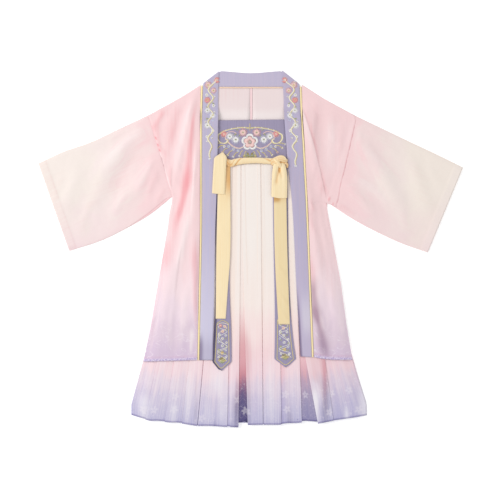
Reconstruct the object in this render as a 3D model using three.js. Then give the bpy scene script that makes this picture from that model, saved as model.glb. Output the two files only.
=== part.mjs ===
// A child's ruqun laid flat: an open-fronted robe with wide sleeves over a chest-high pleated skirt.
// Millimetres. It rests on z = 0, +Z is up, +Y runs up the garment to its collar and +X across it,
// so "left" is the side at -X. The origin is the centre of the resting garment's outline.
import * as THREE from "three";

// Driving sizes of the cloth.
const CLOTH = 1.0; // sheer robe and skirt cloth
const BAND_CLOTH = 1.5; // doubled cloth of the collar and the chest band
const RIBBON = 1.2; // doubled cloth of the tie and the hanging ribbons
const SEAM = 0.3; // gap between pieces that are sewn together
const REST_GAP = 0.4; // gap between layers that lie on each other
const PIPING_WIDTH = 5;
const NECK_PIPING = 2.4; // width of the thinner piping behind the neck

// Heights up the garment, along Y.
const NECK_SEAM_Y = 404;
const BAND_TOP_Y = 321;
const BAND_FOOT_Y = 213;
const BAND_TILT = 4; // its right end lies this much higher
const ROBE_HEM_Y = -278;
const SKIRT_HEM_Y = -446; // lowest point of the skirt's curved hem
const HEM_RISE = 28; // how far the hem climbs from there to the side seams
const TUCK_RISE = 9; // how much shorter the tucked-under cloth hangs
const CENTRE_BACK_X = 1.5;
const NECK_CORNER_X = 79; // beyond it the collar behind the neck slopes down to its ends
const NECK_END_X = 104;

// The skirt's stack: a pressed fold is three layers, one pitch apart.
const BACK_PITCH = 1.35;
const FRONT_PITCH_BAND = 1.35;
const FRONT_PITCH_HEM = 1.9;
const SIDE_TAPER = 30; // the stack thins to its side seams over this width
const TAPER_LEAD = 7; // how far outside the back's taper the front begins its own, to keep clear
const BAND_SIDE_LIFT = 2.6; // the chest band's two walls and the tie hold the robe up at the sides
const SKIRT_LIFT = CLOTH + REST_GAP; // it lies on the robe's back

// Edges of the collar, the robe and the skirt at each height. The left and right sides differ a little,
// because the garment is laid by hand.
const COLLAR = [
  { y: 445, leftIn: -79, leftOut: -118, rightIn: 78, rightOut: 121 },
  { y: 409, leftIn: -80.5, leftOut: -119, rightIn: 81, rightOut: 122 },
  { y: 321, leftIn: -81, leftOut: -121, rightIn: 84, rightOut: 125 },
  { y: 259, leftIn: -82, leftOut: -121, rightIn: 89, rightOut: 129 },
  { y: 209, leftIn: -83.5, leftOut: -121, rightIn: 92.5, rightOut: 131.5 },
  { y: 121, leftIn: -85.5, leftOut: -121, rightIn: 102.5, rightOut: 136.5 },
  { y: 61, leftIn: -88, leftOut: -121, rightIn: 106.5, rightOut: 139 },
  { y: -79, leftIn: -90.5, leftOut: -123.5, rightIn: 113, rightOut: 144.5 },
  { y: -278, leftIn: -93.5, leftOut: -127.5, rightIn: 124, rightOut: 152 },
];
// The robe's outer edge: shoulder line, then the seam to the sleeve, then the side seam.
const ROBE_EDGE = [
  { y: 409, left: -124.5, right: 129 },
  { y: 376, left: -177, right: 180 },
  { y: 332, left: -257, right: 260 },
  { y: 134, left: -197.2, right: 196.3 },
  { y: 130, left: -196, right: 195 },
  { y: 116, left: -197, right: 190.5 },
  { y: 100, left: -200.5, right: 191 },
  { y: 84, left: -203.5, right: 193.5 },
  { y: 61, left: -206, right: 198 },
  { y: -4, left: -217, right: 210 },
  { y: -89, left: -232, right: 226 },
  { y: -188, left: -249, right: 239 },
  { y: -278, left: -268, right: 254 },
];
const SKIRT_EDGE = [
  { y: 321, left: -154, right: 154 },
  { y: 213, left: -156, right: 156 },
  { y: 150, left: -165, right: 163 },
  { y: -4, left: -200, right: 184 },
  { y: -129, left: -229, right: 219 },
  { y: -278, left: -263, right: 251 },
  { y: -340, left: -279, right: 268 },
  { y: -418, left: -299, right: 291 },
];
// The sleeves: top fold and underarm seam from the armhole (s = 0) to the cuff (s = 1).
const SLEEVE_LEFT = [
  { s: 0, topX: -257, topY: 332, underX: -196, underY: 130 },
  { s: 0.25, topX: -326, topY: 300, underX: -252, underY: 85 },
  { s: 0.5, topX: -400, topY: 265, underX: -312, underY: 50 },
  { s: 0.75, topX: -467, topY: 242, underX: -376, underY: 19 },
  { s: 1, topX: -531, topY: 212, underX: -454, underY: -6 },
];
const SLEEVE_RIGHT = [
  { s: 0, topX: 260, topY: 332, underX: 190.5, underY: 116 },
  { s: 0.25, topX: 325, topY: 301, underX: 259, underY: 71.5 },
  { s: 0.5, topX: 398, topY: 266, underX: 322, underY: 38 },
  { s: 0.75, topX: 464, topY: 235, underX: 380, underY: 12 },
  { s: 1, topX: 531, topY: 202, underX: 443, underY: -10 },
];

// Pressed edges of the skirt. band and hem are the edge's X at the chest band and at the hem, over says
// which side's cloth lies on top, and tuck is how far the cloth folds back under it at the hem.
// bloom is the share of the length over which an edge stays shut before it fans out to its hem place.
const FRONT_PLEATS = [
  { band: -132, hem: -262, over: "right", tuck: 12, bloom: 0 },
  { band: -112, hem: -214, over: "right", tuck: 13, bloom: 0 },
  { band: -92, hem: -171, over: "right", tuck: 13, bloom: 0 },
  { band: -74, hem: -134, over: "left", tuck: 14, bloom: 0 },
  { band: -71, hem: -131, over: "right", tuck: 12, bloom: 0 },
  { band: -46, hem: -59, over: "left", tuck: 12, bloom: 0 },
  { band: -25, hem: -31, over: "left", tuck: 14, bloom: 0.25 },
  { band: -22, hem: -7, over: "right", tuck: 14, bloom: 0.3 },
  { band: 24, hem: 30, over: "left", tuck: 14, bloom: 0 },
  { band: 26.6, hem: 32.6, over: "right", tuck: 13, bloom: 0 },
  { band: 66, hem: 76, over: "left", tuck: 13, bloom: 0 },
  { band: 104, hem: 127, over: "left", tuck: 12, bloom: 0 },
  { band: 107, hem: 168, over: "right", tuck: 13, bloom: 0.58 },
  { band: 130, hem: 206, over: "left", tuck: 13, bloom: 0.2 },
];
const BACK_PLEAT_COUNT = 8; // half of them turn to each side
const BACK_PLEAT_TUCK = 11;
const BACK_PLEATS_BAND = { left: -122, right: 122 };
const BACK_PLEATS_HEM = { left: -238, right: 232 };
const TUCK_AT_BAND = 0.55; // a tuck's depth at the band, as a share of its depth at the hem
const TUCK_LEAD = 3; // run of level cloth beside a tuck, so that its layers keep clear
const SEAM_LEAD = 4; // least run of level cloth between a side seam and the first edge
const EARLY_DRIFT = 0.25; // until it blooms, an edge drifts at this share of its mean rate
const SETTLE = 13; // run over which cloth comes down from a fold on the skirt's back
const PANEL_SHARES = [0, 0.08, 0.2, 0.34, 0.46, 0.6, 0.76, 0.81, 0.86, 0.93, 1]; // rows down the skirt
const BACK_SHARES = [0, 0.08, 0.2, 0.4, 0.6, 0.76, 0.81, 0.86, 1];

// Soft folds that stand up from the laid cloth, each along a line from one point to another.
const ROBE_FOLDS = [
  { fromX: -140, fromY: 384, toX: -193, toY: 140, width: 15, height: 4.5 },
  { fromX: -133, fromY: 250, toX: -152, toY: -240, width: 13, height: 3.0 },
  { fromX: -188, fromY: 100, toX: -226, toY: -250, width: 15, height: 3.2 },
  { fromX: -196, fromY: 350, toX: -222, toY: 250, width: 16, height: 2.5 },
  { fromX: 141, fromY: 360, toX: 189, toY: 130, width: 15, height: 4.5 },
  { fromX: 160, fromY: 60, toX: 186, toY: -250, width: 14, height: 3.2 },
  { fromX: 186, fromY: 70, toX: 226, toY: -190, width: 15, height: 3.0 },
  { fromX: 196, fromY: 330, toX: 225, toY: 230, width: 15, height: 2.2 },
];
const SLEEVE_FOLDS = [
  { fromX: -250, fromY: 300, toX: -392, toY: 165, width: 19, height: 4.0 },
  { fromX: -220, fromY: 225, toX: -345, toY: 84, width: 19, height: 4.2 },
  { fromX: -420, fromY: 205, toX: -478, toY: 70, width: 21, height: 2.4 },
  { fromX: 262, fromY: 282, toX: 386, toY: 84, width: 20, height: 3.6 },
  { fromX: 236, fromY: 170, toX: 322, toY: 62, width: 17, height: 3.2 },
  { fromX: 400, fromY: 220, toX: 452, toY: 60, width: 21, height: 2.6 },
];

const ROBE_LEAST_WIDTH = 1.5; // the front runs out to this width at its shoulder corner
// Rows of points down the robe's panels.
const FRONT_HEIGHTS = [
  408, 376, 354, 332, 316, 300, 275, 250, 225, 203, 168, 134, 130, 116, 100, 84, 61, 28, -4, -46,
  -89, -139, -188, -233, ROBE_HEM_Y,
];
const BACK_HEIGHTS = [NECK_SEAM_Y, 376, 332, 134, 130, 116, 100, 61, -4, -89, -188, ROBE_HEM_Y];

// The tie: a band rolled between two knots, with a tail, and a loop that hangs over it, on each side.
const TIE_ROLL = [
  { x: -57, y: 215, width: 19, height: 5.0 },
  { x: -44, y: 217, width: 15, height: 5.4 },
  { x: -24, y: 218.5, width: 13, height: 4.8 },
  { x: 0, y: 220, width: 13, height: 4.8 },
  { x: 24, y: 220, width: 14, height: 4.8 },
  { x: 51, y: 218.6, width: 14, height: 5.2 },
];
const TIE_FOOT_Z = 9.6; // the roll lies over the seam between band and skirt
const TIE_SIDE_CLOTH = 1.0;
const KNOTS = {
  left: { x: -69.6, y: 217, halfX: 11.5, halfY: 11, height: 3.2 },
  right: { x: 71.8, y: 218, halfX: 19, halfY: 14, height: 7.5 },
};
const TAIL_LEFT = [
  { y: 205, left: -80, right: -50 },
  { y: 136, left: -83, right: -49.5 },
  { y: -4, left: -86.5, right: -49.5 },
  { y: -129, left: -87.5, right: -58 },
  { y: -175, left: -88, right: -61.5 },
];
const TAIL_RIGHT = [
  { y: 203, left: 57, right: 89 },
  { y: 121, left: 56.5, right: 90 },
  { y: -31, left: 59.5, right: 93 },
  { y: -189, left: 68, right: 98.5 },
];
// The hanging ribbons widen to a pointed end.
const RIBBON_LEFT = [
  { y: 204, left: -87, right: -56 },
  { y: -4, left: -87.5, right: -53 },
  { y: -119, left: -88, right: -52 },
  { y: -221, left: -92, right: -48 },
  { y: -282, left: -95.5, right: -47.5 },
];
const RIBBON_RIGHT = [
  { y: 202, left: 54, right: 92 },
  { y: -4, left: 57, right: 94 },
  { y: -146, left: 60, right: 99 },
  { y: -234, left: 60, right: 107 },
  { y: -275, left: 59, right: 113 },
];
const RIBBON_TIPS = { left: { x: -75, y: -307.5 }, right: { x: 88, y: -297.5 } };
// The loops: edges at each height, with how far the upper layer puffs up there.
const LOOP_LEFT = [
  { y: 136, left: -96.5, right: -64, puff: 0.5 },
  { y: 160, left: -95, right: -61.5, puff: 1.0 },
  { y: 196, left: -92.5, right: -61, puff: 1.2 },
  { y: 226, left: -91, right: -59.5, puff: 1.0 },
];
const LOOP_LEFT_PEAK = { x: -69.5, y: 240, z: 12.6 };
const LOOP_RIGHT = [
  { y: 126, left: 53.5, right: 91, puff: 1.2 },
  { y: 157, left: 52.5, right: 92, puff: 3.4 },
  { y: 184, left: 54, right: 90, puff: 3.6 },
  { y: 203, left: 57.5, right: 85, puff: 1.6 },
];
const LOOP_FOOT_Z = 14.2;

const COLOURS = {
  pink: 0xf6d3d6,
  cream: 0xf7ece2,
  lavender: 0xbdb5d6,
  purple: 0x8f86a8,
  yellow: 0xf3d9a0,
};

const mix = (a, b, t) => a + (b - a) * t;
const clamp = (v, low, high) => Math.min(high, Math.max(low, v));
const ease = (low, high, v) => {
  const t = clamp((v - low) / (high - low), 0, 1);
  return t * t * (3 - 2 * t);
};
const steps = (count) => Array.from({ length: count + 1 }, (_, i) => i / count);

// A named column of a table at one place along its key column, on a smooth curve through its rows.
function read(table, column, place, key = "y") {
  const rows = table[0][key] < table.at(-1)[key] ? table : [...table].reverse();
  const v = clamp(place, rows[0][key], rows.at(-1)[key]);
  const i = clamp(rows.findIndex((r) => r[key] >= v) - 1, 0, rows.length - 2);
  const [a, b] = [rows[i], rows[i + 1]];
  const span = b[key] - a[key];
  const slope = (p, q) => (q[column] - p[column]) / (q[key] - p[key]);
  const here = slope(a, b);
  const startSlope = i > 0 ? (slope(rows[i - 1], a) + here) / 2 : here;
  const endSlope = i + 2 < rows.length ? (slope(b, rows[i + 2]) + here) / 2 : here;
  const t = (v - a[key]) / span;
  return (
    a[column] * (2 * t ** 3 - 3 * t ** 2 + 1) +
    startSlope * span * (t ** 3 - 2 * t ** 2 + t) +
    b[column] * (3 * t ** 2 - 2 * t ** 3) +
    endSlope * span * (t ** 3 - t ** 2)
  );
}

// As read, but in straight lines: for outlines with corners.
function readStraight(table, column, place, key = "y") {
  const rows = table[0][key] < table.at(-1)[key] ? table : [...table].reverse();
  const v = clamp(place, rows[0][key], rows.at(-1)[key]);
  const i = clamp(rows.findIndex((r) => r[key] >= v) - 1, 0, rows.length - 2);
  const [a, b] = [rows[i], rows[i + 1]];
  return mix(a[column], b[column], (v - a[key]) / (b[key] - a[key]));
}

// Makes the indexed geometry with its faces pointing out, whichever way round the points were given.
function closedGeometry(points, faces) {
  let volume = 0;
  for (const [a, b, c] of faces) {
    const [p, q, r] = [points[a], points[b], points[c]];
    volume += p[0] * (q[1] * r[2] - q[2] * r[1]);
    volume += p[1] * (q[2] * r[0] - q[0] * r[2]);
    volume += p[2] * (q[0] * r[1] - q[1] * r[0]);
  }
  const turned = volume < 0 ? faces.map(([a, b, c]) => [a, c, b]) : faces;
  const geometry = new THREE.BufferGeometry();
  geometry.setAttribute("position", new THREE.Float32BufferAttribute(points.flat(), 3));
  geometry.setIndex(turned.flat());
  geometry.computeVertexNormals();
  return geometry;
}

// A cloth wall between two grids of points, over and under, with its four edges closed.
function wall(over, under) {
  const rows = over.length;
  const columns = over[0].length;
  const points = [...over.flat(), ...under.flat()];
  const top = (r, c) => r * columns + c;
  const low = (r, c) => rows * columns + r * columns + c;
  const faces = [];
  const quad = (a, b, c, d) => faces.push([a, b, c], [a, c, d]);
  for (let r = 0; r < rows - 1; r += 1) {
    for (let c = 0; c < columns - 1; c += 1) {
      quad(top(r, c), top(r, c + 1), top(r + 1, c + 1), top(r + 1, c));
      quad(low(r, c), low(r + 1, c), low(r + 1, c + 1), low(r, c + 1));
    }
    quad(top(r, 0), top(r + 1, 0), low(r + 1, 0), low(r, 0));
    const last = columns - 1;
    quad(top(r + 1, last), top(r, last), low(r, last), low(r + 1, last));
  }
  for (let c = 0; c < columns - 1; c += 1) {
    quad(top(0, c + 1), top(0, c), low(0, c), low(0, c + 1));
    quad(top(rows - 1, c), top(rows - 1, c + 1), low(rows - 1, c + 1), low(rows - 1, c));
  }
  return closedGeometry(points, faces);
}

// A laid panel: its foot is a grid of points, and its face stands one thickness above them.
function laid(foot, thickness) {
  return wall(foot.map((row) => row.map(([x, y, z]) => [x, y, z + thickness])), foot);
}

// An open tube between outer and inner rings of points.
function tube(outer, inner) {
  const count = outer[0].length;
  const rings = outer.length;
  const points = [...outer.flat(), ...inner.flat()];
  const out = (r, k) => r * count + (k % count);
  const inn = (r, k) => rings * count + r * count + (k % count);
  const faces = [];
  const quad = (a, b, c, d) => faces.push([a, b, c], [a, c, d]);
  for (let k = 0; k < count; k += 1) {
    for (let r = 0; r < rings - 1; r += 1) {
      quad(out(r, k), out(r, k + 1), out(r + 1, k + 1), out(r + 1, k));
      quad(inn(r, k), inn(r + 1, k), inn(r + 1, k + 1), inn(r, k + 1));
    }
    quad(out(0, k + 1), out(0, k), inn(0, k), inn(0, k + 1));
    quad(out(rings - 1, k), out(rings - 1, k + 1), inn(rings - 1, k + 1), inn(rings - 1, k));
  }
  return closedGeometry(points, faces);
}

// A solid lofted through closed rings, with a fan closing each end.
function loft(rings) {
  const count = rings[0].length;
  const middle = (ring) => [0, 1, 2].map((axis) => ring.reduce((sum, p) => sum + p[axis], 0) / count);
  const points = [...rings.flat(), middle(rings[0]), middle(rings.at(-1))];
  const faces = [];
  const at = (r, k) => r * count + (k % count);
  const start = rings.length * count;
  for (let k = 0; k < count; k += 1) {
    for (let r = 0; r < rings.length - 1; r += 1) {
      faces.push([at(r, k), at(r, k + 1), at(r + 1, k + 1)]);
      faces.push([at(r, k), at(r + 1, k + 1), at(r + 1, k)]);
    }
    faces.push([start, at(0, k + 1), at(0, k)]);
    faces.push([start + 1, at(rings.length - 1, k), at(rings.length - 1, k + 1)]);
  }
  return closedGeometry(points, faces);
}

// How much the folds of a table raise the cloth at one point.
function foldHeight(folds, x, y) {
  return folds.reduce((sum, f) => {
    const [dx, dy] = [f.toX - f.fromX, f.toY - f.fromY];
    const length = Math.hypot(dx, dy);
    const along = ((x - f.fromX) * dx + (y - f.fromY) * dy) / length ** 2;
    const aside = ((x - f.fromX) * dy - (y - f.fromY) * dx) / length;
    const fade = ease(-0.08, 0.22, along) * ease(1.08, 0.72, along);
    return sum + f.height * fade * Math.exp(-((aside / f.width) ** 2));
  }, 0);
}

// How far inside the skirt's side seams a point lies.
const insideSkirt = (x, y) => Math.min(x - read(SKIRT_EDGE, "left", y), read(SKIRT_EDGE, "right", y) - x);

// 0 at the skirt's side seams and 1 where its stack has its full thickness.
const skirtLoft = (x, y, lead = 0) => ease(-lead, SIDE_TAPER - lead, insideSkirt(x, y));

// The skirt leaves the robe's back below the robe's hem and comes down to rest on the floor.
const skirtFoot = (y) => SKIRT_LIFT * ease(ROBE_HEM_Y - 52, ROBE_HEM_Y - 8, y);
const frontPitch = (y) => mix(FRONT_PITCH_HEM, FRONT_PITCH_BAND, ease(BAND_FOOT_Y - 90, BAND_FOOT_Y, y));
const backStack = (x, y) => CLOTH + REST_GAP + 2 * BACK_PITCH * skirtLoft(x, y, TAPER_LEAD);
const frontFoot = (x, y) => skirtFoot(y) + backStack(x, y);
const frontStack = (x, y) => CLOTH + REST_GAP + 2 * frontPitch(y) * skirtLoft(x, y, TAPER_LEAD);

// What the robe's front lies on: the skirt's whole stack, falling to the robe's back outside it.
function robeFrontFoot(x, y) {
  const inside = insideSkirt(x, y);
  const overSkirt = ease(-15, -2, inside) * ease(BAND_TOP_Y + 28, BAND_TOP_Y + 4, y);
  const besideBand = ease(BAND_FOOT_Y - 45, BAND_FOOT_Y - 6, y);
  const sideLift = BAND_SIDE_LIFT * (1 - skirtLoft(x, y, TAPER_LEAD)) * besideBand;
  return CLOTH + REST_GAP + (backStack(x, y) + frontStack(x, y) + sideLift) * overSkirt;
}

// Offsets a path in the XZ plane to one side, mitred at its corners.
function offsetPath(path, distance) {
  return path.map(([x, z], i) => {
    const [px, pz] = path[Math.max(0, i - 1)];
    const [nx, nz] = path[Math.min(path.length - 1, i + 1)];
    const unit = (dx, dz) => {
      const length = Math.hypot(dx, dz) || 1;
      return [dx / length, dz / length];
    };
    const before = i > 0 ? unit(x - px, z - pz) : unit(nx - x, nz - z);
    const after = i < path.length - 1 ? unit(nx - x, nz - z) : before;
    const [sx, sz] = unit(before[0] + after[0], before[1] + after[1]);
    const mitre = 1 / Math.max(0.6, sx * after[0] + sz * after[1]);
    return [x - sz * distance * mitre, z + sx * distance * mitre];
  });
}

// The middle line of pleated cloth across the skirt at one height, left to right. Each point is
// [x, level], where a level of 0, 1 or 2 says which layer of a fold it is in.
function pleatLine(edges, left, right, settles) {
  const taper = [0, 0.3, 0.62, 0.95];
  const leftRun = Math.min(SIDE_TAPER, edges[0].x - left - SEAM_LEAD);
  const line = taper.map((t) => [left + leftRun * t, 0]);
  edges.forEach(({ x, over, tuck }, i) => {
    const nextX = i + 1 < edges.length ? edges[i + 1].x : right;
    if (over === "left") {
      line.push([x - tuck - TUCK_LEAD, 2], [x, 2], [x, 1], [x - tuck, 1], [x - tuck, 0], [x + CLOTH, 0]);
    } else {
      line.push([x - CLOTH, 0], [x + tuck, 0], [x + tuck, 1], [x, 1], [x, 2], [x + tuck + TUCK_LEAD, 2]);
      if (settles) line.push([Math.min(x + tuck + TUCK_LEAD + SETTLE, nextX - 2), 0]);
    }
  });
  const rightRun = Math.min(SIDE_TAPER, right - line.at(-1)[0] - 2);
  line.push(...taper.map((t) => [right - rightRun * t, 0]).reverse());
  return line;
}

// Where a pressed edge lies at a share of the way from the band to the hem.
function pleatX({ band, hem, bloom }, share) {
  const opened = (share - bloom) / (1 - bloom);
  const progress = share < bloom ? EARLY_DRIFT * share : mix(EARLY_DRIFT * bloom, 1, opened);
  return mix(band, hem, progress);
}

// One pleated half of the skirt, from the chest band to its curved hem.
function pleatedPanel({ pleats, foot, pitch, shares, settles, inset }) {
  const topY = BAND_FOOT_Y - SEAM;
  const lineAt = (share) => {
    const y = mix(topY, SKIRT_HEM_Y, share);
    const edges = pleats.map((p) => ({
      x: pleatX(p, share),
      over: p.over,
      tuck: p.tuck * mix(TUCK_AT_BAND, 1, share),
    }));
    const [left, right] = [read(SKIRT_EDGE, "left", y) + inset, read(SKIRT_EDGE, "right", y) - inset];
    return pleatLine(edges, left, right, settles);
  };
  const hemY = lineAt(1).map(([x, level]) => {
    const aside = Math.abs(x < 0 ? x / SKIRT_EDGE.at(-1).left : x / SKIRT_EDGE.at(-1).right);
    return SKIRT_HEM_Y + HEM_RISE * aside ** 2.4 + (level < 2 ? TUCK_RISE * Math.max(0, 1 - aside) : 0);
  });
  const over = [];
  const under = [];
  for (const share of shares) {
    const line = lineAt(share);
    const ys = hemY.map((y) => mix(topY, y, share));
    const path = line.map(([x, level], i) => [
      x,
      foot(x, ys[i]) + CLOTH / 2 + level * pitch(ys[i]) * skirtLoft(x, ys[i]),
    ]);
    over.push(offsetPath(path, CLOTH / 2).map(([x, z], i) => [x, ys[i], z]));
    under.push(offsetPath(path, -CLOTH / 2).map(([x, z], i) => [x, ys[i], z]));
  }
  return wall(over, under);
}

function skirtFront() {
  return pleatedPanel({
    pleats: FRONT_PLEATS,
    foot: frontFoot,
    pitch: frontPitch,
    shares: PANEL_SHARES,
    settles: false,
    inset: 1,
  });
}

function skirtBack() {
  const pleats = steps(BACK_PLEAT_COUNT - 1).map((u) => ({
    band: mix(BACK_PLEATS_BAND.left, BACK_PLEATS_BAND.right, u),
    hem: mix(BACK_PLEATS_HEM.left, BACK_PLEATS_HEM.right, u),
    over: u < 0.5 ? "right" : "left",
    tuck: BACK_PLEAT_TUCK,
    bloom: 0,
  }));
  return pleatedPanel({
    pleats,
    foot: (x, y) => skirtFoot(y),
    pitch: () => BACK_PITCH,
    shares: BACK_SHARES,
    settles: true,
    inset: 3,
  });
}

// The collar's outer edge with the piping beside it, which is where the robe's front begins.
const frontEdge = (side, y) => {
  const outward = side === "left" ? -1 : 1;
  return read(COLLAR, `${side}Out`, y) + outward * (PIPING_WIDTH + 2 * SEAM);
};

// The foot of a robe panel, in rows down the garment. Its columns crowd together beside its outer
// edge, where the cloth comes down over the skirt's side.
function robePanel(side, heights, columns, innerEdge, foot) {
  const outward = side === "left" ? -1 : 1;
  const insets = [0, 4, 8, 12, 17, 22];
  return heights.map((y) => {
    const inner = innerEdge(y);
    const outer = readStraight(ROBE_EDGE, side, y);
    const width = Math.max(ROBE_LEAST_WIDTH, outward * (outer - inner));
    const squeeze = Math.min(1, width / (2 * insets.at(-1)));
    const crowded = insets.map((inset) => width - inset * squeeze);
    const spread = steps(columns).slice(1).map((u) => crowded.at(-1) * (1 - u));
    return [...crowded, ...spread].map((aside) => {
      const x = inner + outward * aside;
      return [x, y, foot(x, y)];
    });
  });
}

function robeFront(side) {
  const foot = (x, y) => robeFrontFoot(x, y) + foldHeight(ROBE_FOLDS, x, y);
  return laid(robePanel(side, FRONT_HEIGHTS, 8, (y) => frontEdge(side, y), foot), CLOTH);
}

function robeBack(side) {
  const outward = side === "left" ? -1 : 1;
  const seam = () => CENTRE_BACK_X + (outward * SEAM) / 2;
  return laid(robePanel(side, BACK_HEIGHTS, 2, seam, () => 0), CLOTH);
}

// A sleeve: a flattened tube with a fold along its top and a seam under the arm, open at both ends.
function sleeve(table, side) {
  const stations = 11;
  const across = 13;
  const sign = side === "left" ? -1 : 1;
  const outer = [];
  const inner = [];
  for (const s of steps(stations)) {
    const start = s === 0 ? sign * SEAM : 0;
    const top = [read(table, "topX", s, "s") + start, read(table, "topY", s, "s")];
    const under = [read(table, "underX", s, "s") + start, read(table, "underY", s, "s")];
    const width = Math.hypot(under[0] - top[0], under[1] - top[1]);
    const point = (u, z) => [mix(top[0], under[0], u), mix(top[1], under[1], u), z];
    const puff = (u) => {
      const [x, y] = point(u, 0);
      return foldHeight(SLEEVE_FOLDS, x, y) * Math.sin(Math.PI * u) ** 0.5;
    };
    const high = 2 * CLOTH + REST_GAP;
    const ring = (inset, floor, ceiling) => {
      const u0 = inset / width;
      const points = [point(u0, (floor + ceiling) / 2)];
      for (const t of steps(across)) {
        const u = mix(u0 + 1.2 / width, 1 - u0 - 1.2 / width, t);
        points.push(point(u, ceiling + puff(u)));
      }
      points.push(point(1 - u0, (floor + ceiling) / 2));
      for (const t of steps(6)) points.push(point(mix(1 - u0 - 1.2 / width, u0 + 1.2 / width, t), floor));
      return points;
    };
    outer.push(ring(0, 0, high));
    inner.push(ring(CLOTH, CLOTH, high - CLOTH));
  }
  return tube(outer, inner);
}

const COLLAR_COLUMNS = [0, 0.3, 0.5, 0.72, 1]; // from the inner edge to the outer one

// The collar's two front bands run from the shoulder fold to the robe's hem.
const COLLAR_TOP = { left: { inY: 443, outY: 412.5 }, right: { inY: 445, outY: 410 } };

// The collar lies on the doubled band behind the neck, and the left one also on the ribbon's edge.
function collarFoot(x, y) {
  const neckLift = (BAND_CLOTH - CLOTH) * ease(NECK_SEAM_Y - 45, NECK_SEAM_Y - 15, y);
  const ribbonLift = (RIBBON + REST_GAP) * ease(-112, -99, x) * ease(BAND_FOOT_Y + 12, BAND_FOOT_Y - 5, y);
  return robeFrontFoot(x, y) + neckLift + ribbonLift * (x < 0 ? 1 : 0);
}

function collarFront(side) {
  const { inY, outY } = COLLAR_TOP[side];
  const foot = steps(24).map((v) =>
    COLLAR_COLUMNS.map((u) => {
      const y = mix(mix(inY, outY, u), ROBE_HEM_Y, v);
      const x = mix(read(COLLAR, `${side}In`, y), read(COLLAR, `${side}Out`, y), u);
      return [x, y, collarFoot(x, y)];
    }),
  );
  return laid(foot, BAND_CLOTH);
}

function pipingFront(side) {
  const sign = side === "left" ? -1 : 1;
  const start = COLLAR_TOP[side].outY - 4;
  const section = [[0, 0], [0.2, 1.3], [0.5, 1.9], [0.8, 1.3], [1, 0]];
  const rings = steps(20).map((v) => {
    const y = mix(start, ROBE_HEM_Y, v);
    const edge = read(COLLAR, `${side}Out`, y) + sign * SEAM;
    return section.map(([u, rise]) => {
      const x = edge + sign * PIPING_WIDTH * u;
      return [x, y - (v === 0 ? 3 * u : 0), collarFoot(edge, y) + rise];
    });
  });
  return loft(rings);
}

// The collar across the back of the neck, seen from inside, sagging a little in its middle.
const NECK_TOP_Y = 443;
const SHOULDER_SLOPE = 0.8;
const backCollarSag = (x) => 5 * Math.cos((Math.PI * clamp(x, -80, 80)) / 160) ** 2;

function collarBack() {
  const foot = steps(3).map((v) =>
    steps(14).map((u) => {
      const x = mix(-NECK_END_X, NECK_END_X, u);
      const corner = SHOULDER_SLOPE * Math.max(0, Math.abs(x) - NECK_CORNER_X);
      const top = NECK_TOP_Y - backCollarSag(x) - corner;
      return [x, mix(top, NECK_SEAM_Y + SEAM, v), 0];
    }),
  );
  return laid(foot, BAND_CLOTH);
}

// A thin cord of piping below the neck seam, on the robe's back.
function pipingBack() {
  const foot = [0, 1].map((v) =>
    steps(12).map((u) => [mix(-78, 79.5, u), NECK_SEAM_Y - 0.6 - NECK_PIPING * v, CLOTH + SEAM]),
  );
  return laid(foot, CLOTH);
}

// Height of the chest band's two walls above the floor. The front one climbs over the skirt's gathers.
function bandFoot(side, x, y) {
  const down = clamp((BAND_TOP_Y - y) / (BAND_TOP_Y - BAND_FOOT_Y), 0, 1);
  if (side === "back") return SKIRT_LIFT + REST_GAP * down;
  const inside = ease(0, SIDE_TAPER, insideSkirt(x, BAND_FOOT_Y));
  return mix(3.4, mix(3.7, 5.4, inside), down);
}

function chestBand(side) {
  const inset = side === "front" ? 1 : 3;
  const { left, right } = SKIRT_EDGE[0];
  const foot = steps(4).map((v) =>
    steps(12).map((u) => {
      const topY = BAND_TOP_Y + (side === "front" ? BAND_TILT * (u - 0.5) : -3);
      const x = mix(left + inset, right - inset, u);
      const y = mix(topY, BAND_FOOT_Y, v);
      return [x, y, bandFoot(side, x, y)];
    }),
  );
  return laid(foot, BAND_CLOTH);
}

// A strip of ribbon between two edges, lying on whatever height its foot is given.
function strip(edges, foot, end = null) {
  const startY = edges[0].y;
  const endY = edges.at(-1).y;
  const grid = steps(15).map((v) =>
    steps(6).map((u) => {
      const y = mix(startY, endY, v);
      const x = mix(read(edges, "left", y), read(edges, "right", y), u);
      return [x, y, foot(x, y)];
    }),
  );
  if (end) {
    const last = grid.at(-1);
    const [left, right] = [last[0], last.at(-1)];
    const peak = (end.x - left[0]) / (right[0] - left[0]);
    grid[grid.length - 1] = last.map(([x, y, z], i) => {
      const u = i / (last.length - 1);
      const reach = u < peak ? u / peak : (1 - u) / (1 - peak);
      return [x, mix(y, end.y, reach), z];
    });
  }
  return laid(grid, RIBBON);
}

const pleatTop = (x, y) => frontFoot(x, y) + frontStack(x, y) - REST_GAP;
const ribbonFoot = (x, y) => pleatTop(x, y) + SEAM;
const tailFoot = (x, y) => ribbonFoot(x, y) + RIBBON + SEAM;

function tieRoll() {
  const section = steps(9).slice(0, -1);
  const rings = steps(14).map((v) => {
    const x = mix(TIE_ROLL[0].x, TIE_ROLL.at(-1).x, v);
    const [y, width, height] = ["y", "width", "height"].map((c) => read(TIE_ROLL, c, x, "x"));
    return section.map((k) => {
      const angle = 2 * Math.PI * k + 0.35 * v;
      return [x, y + (width / 2) * Math.cos(angle), TIE_FOOT_Z + (height / 2) * (1 + Math.sin(angle))];
    });
  });
  return loft(rings);
}

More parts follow.
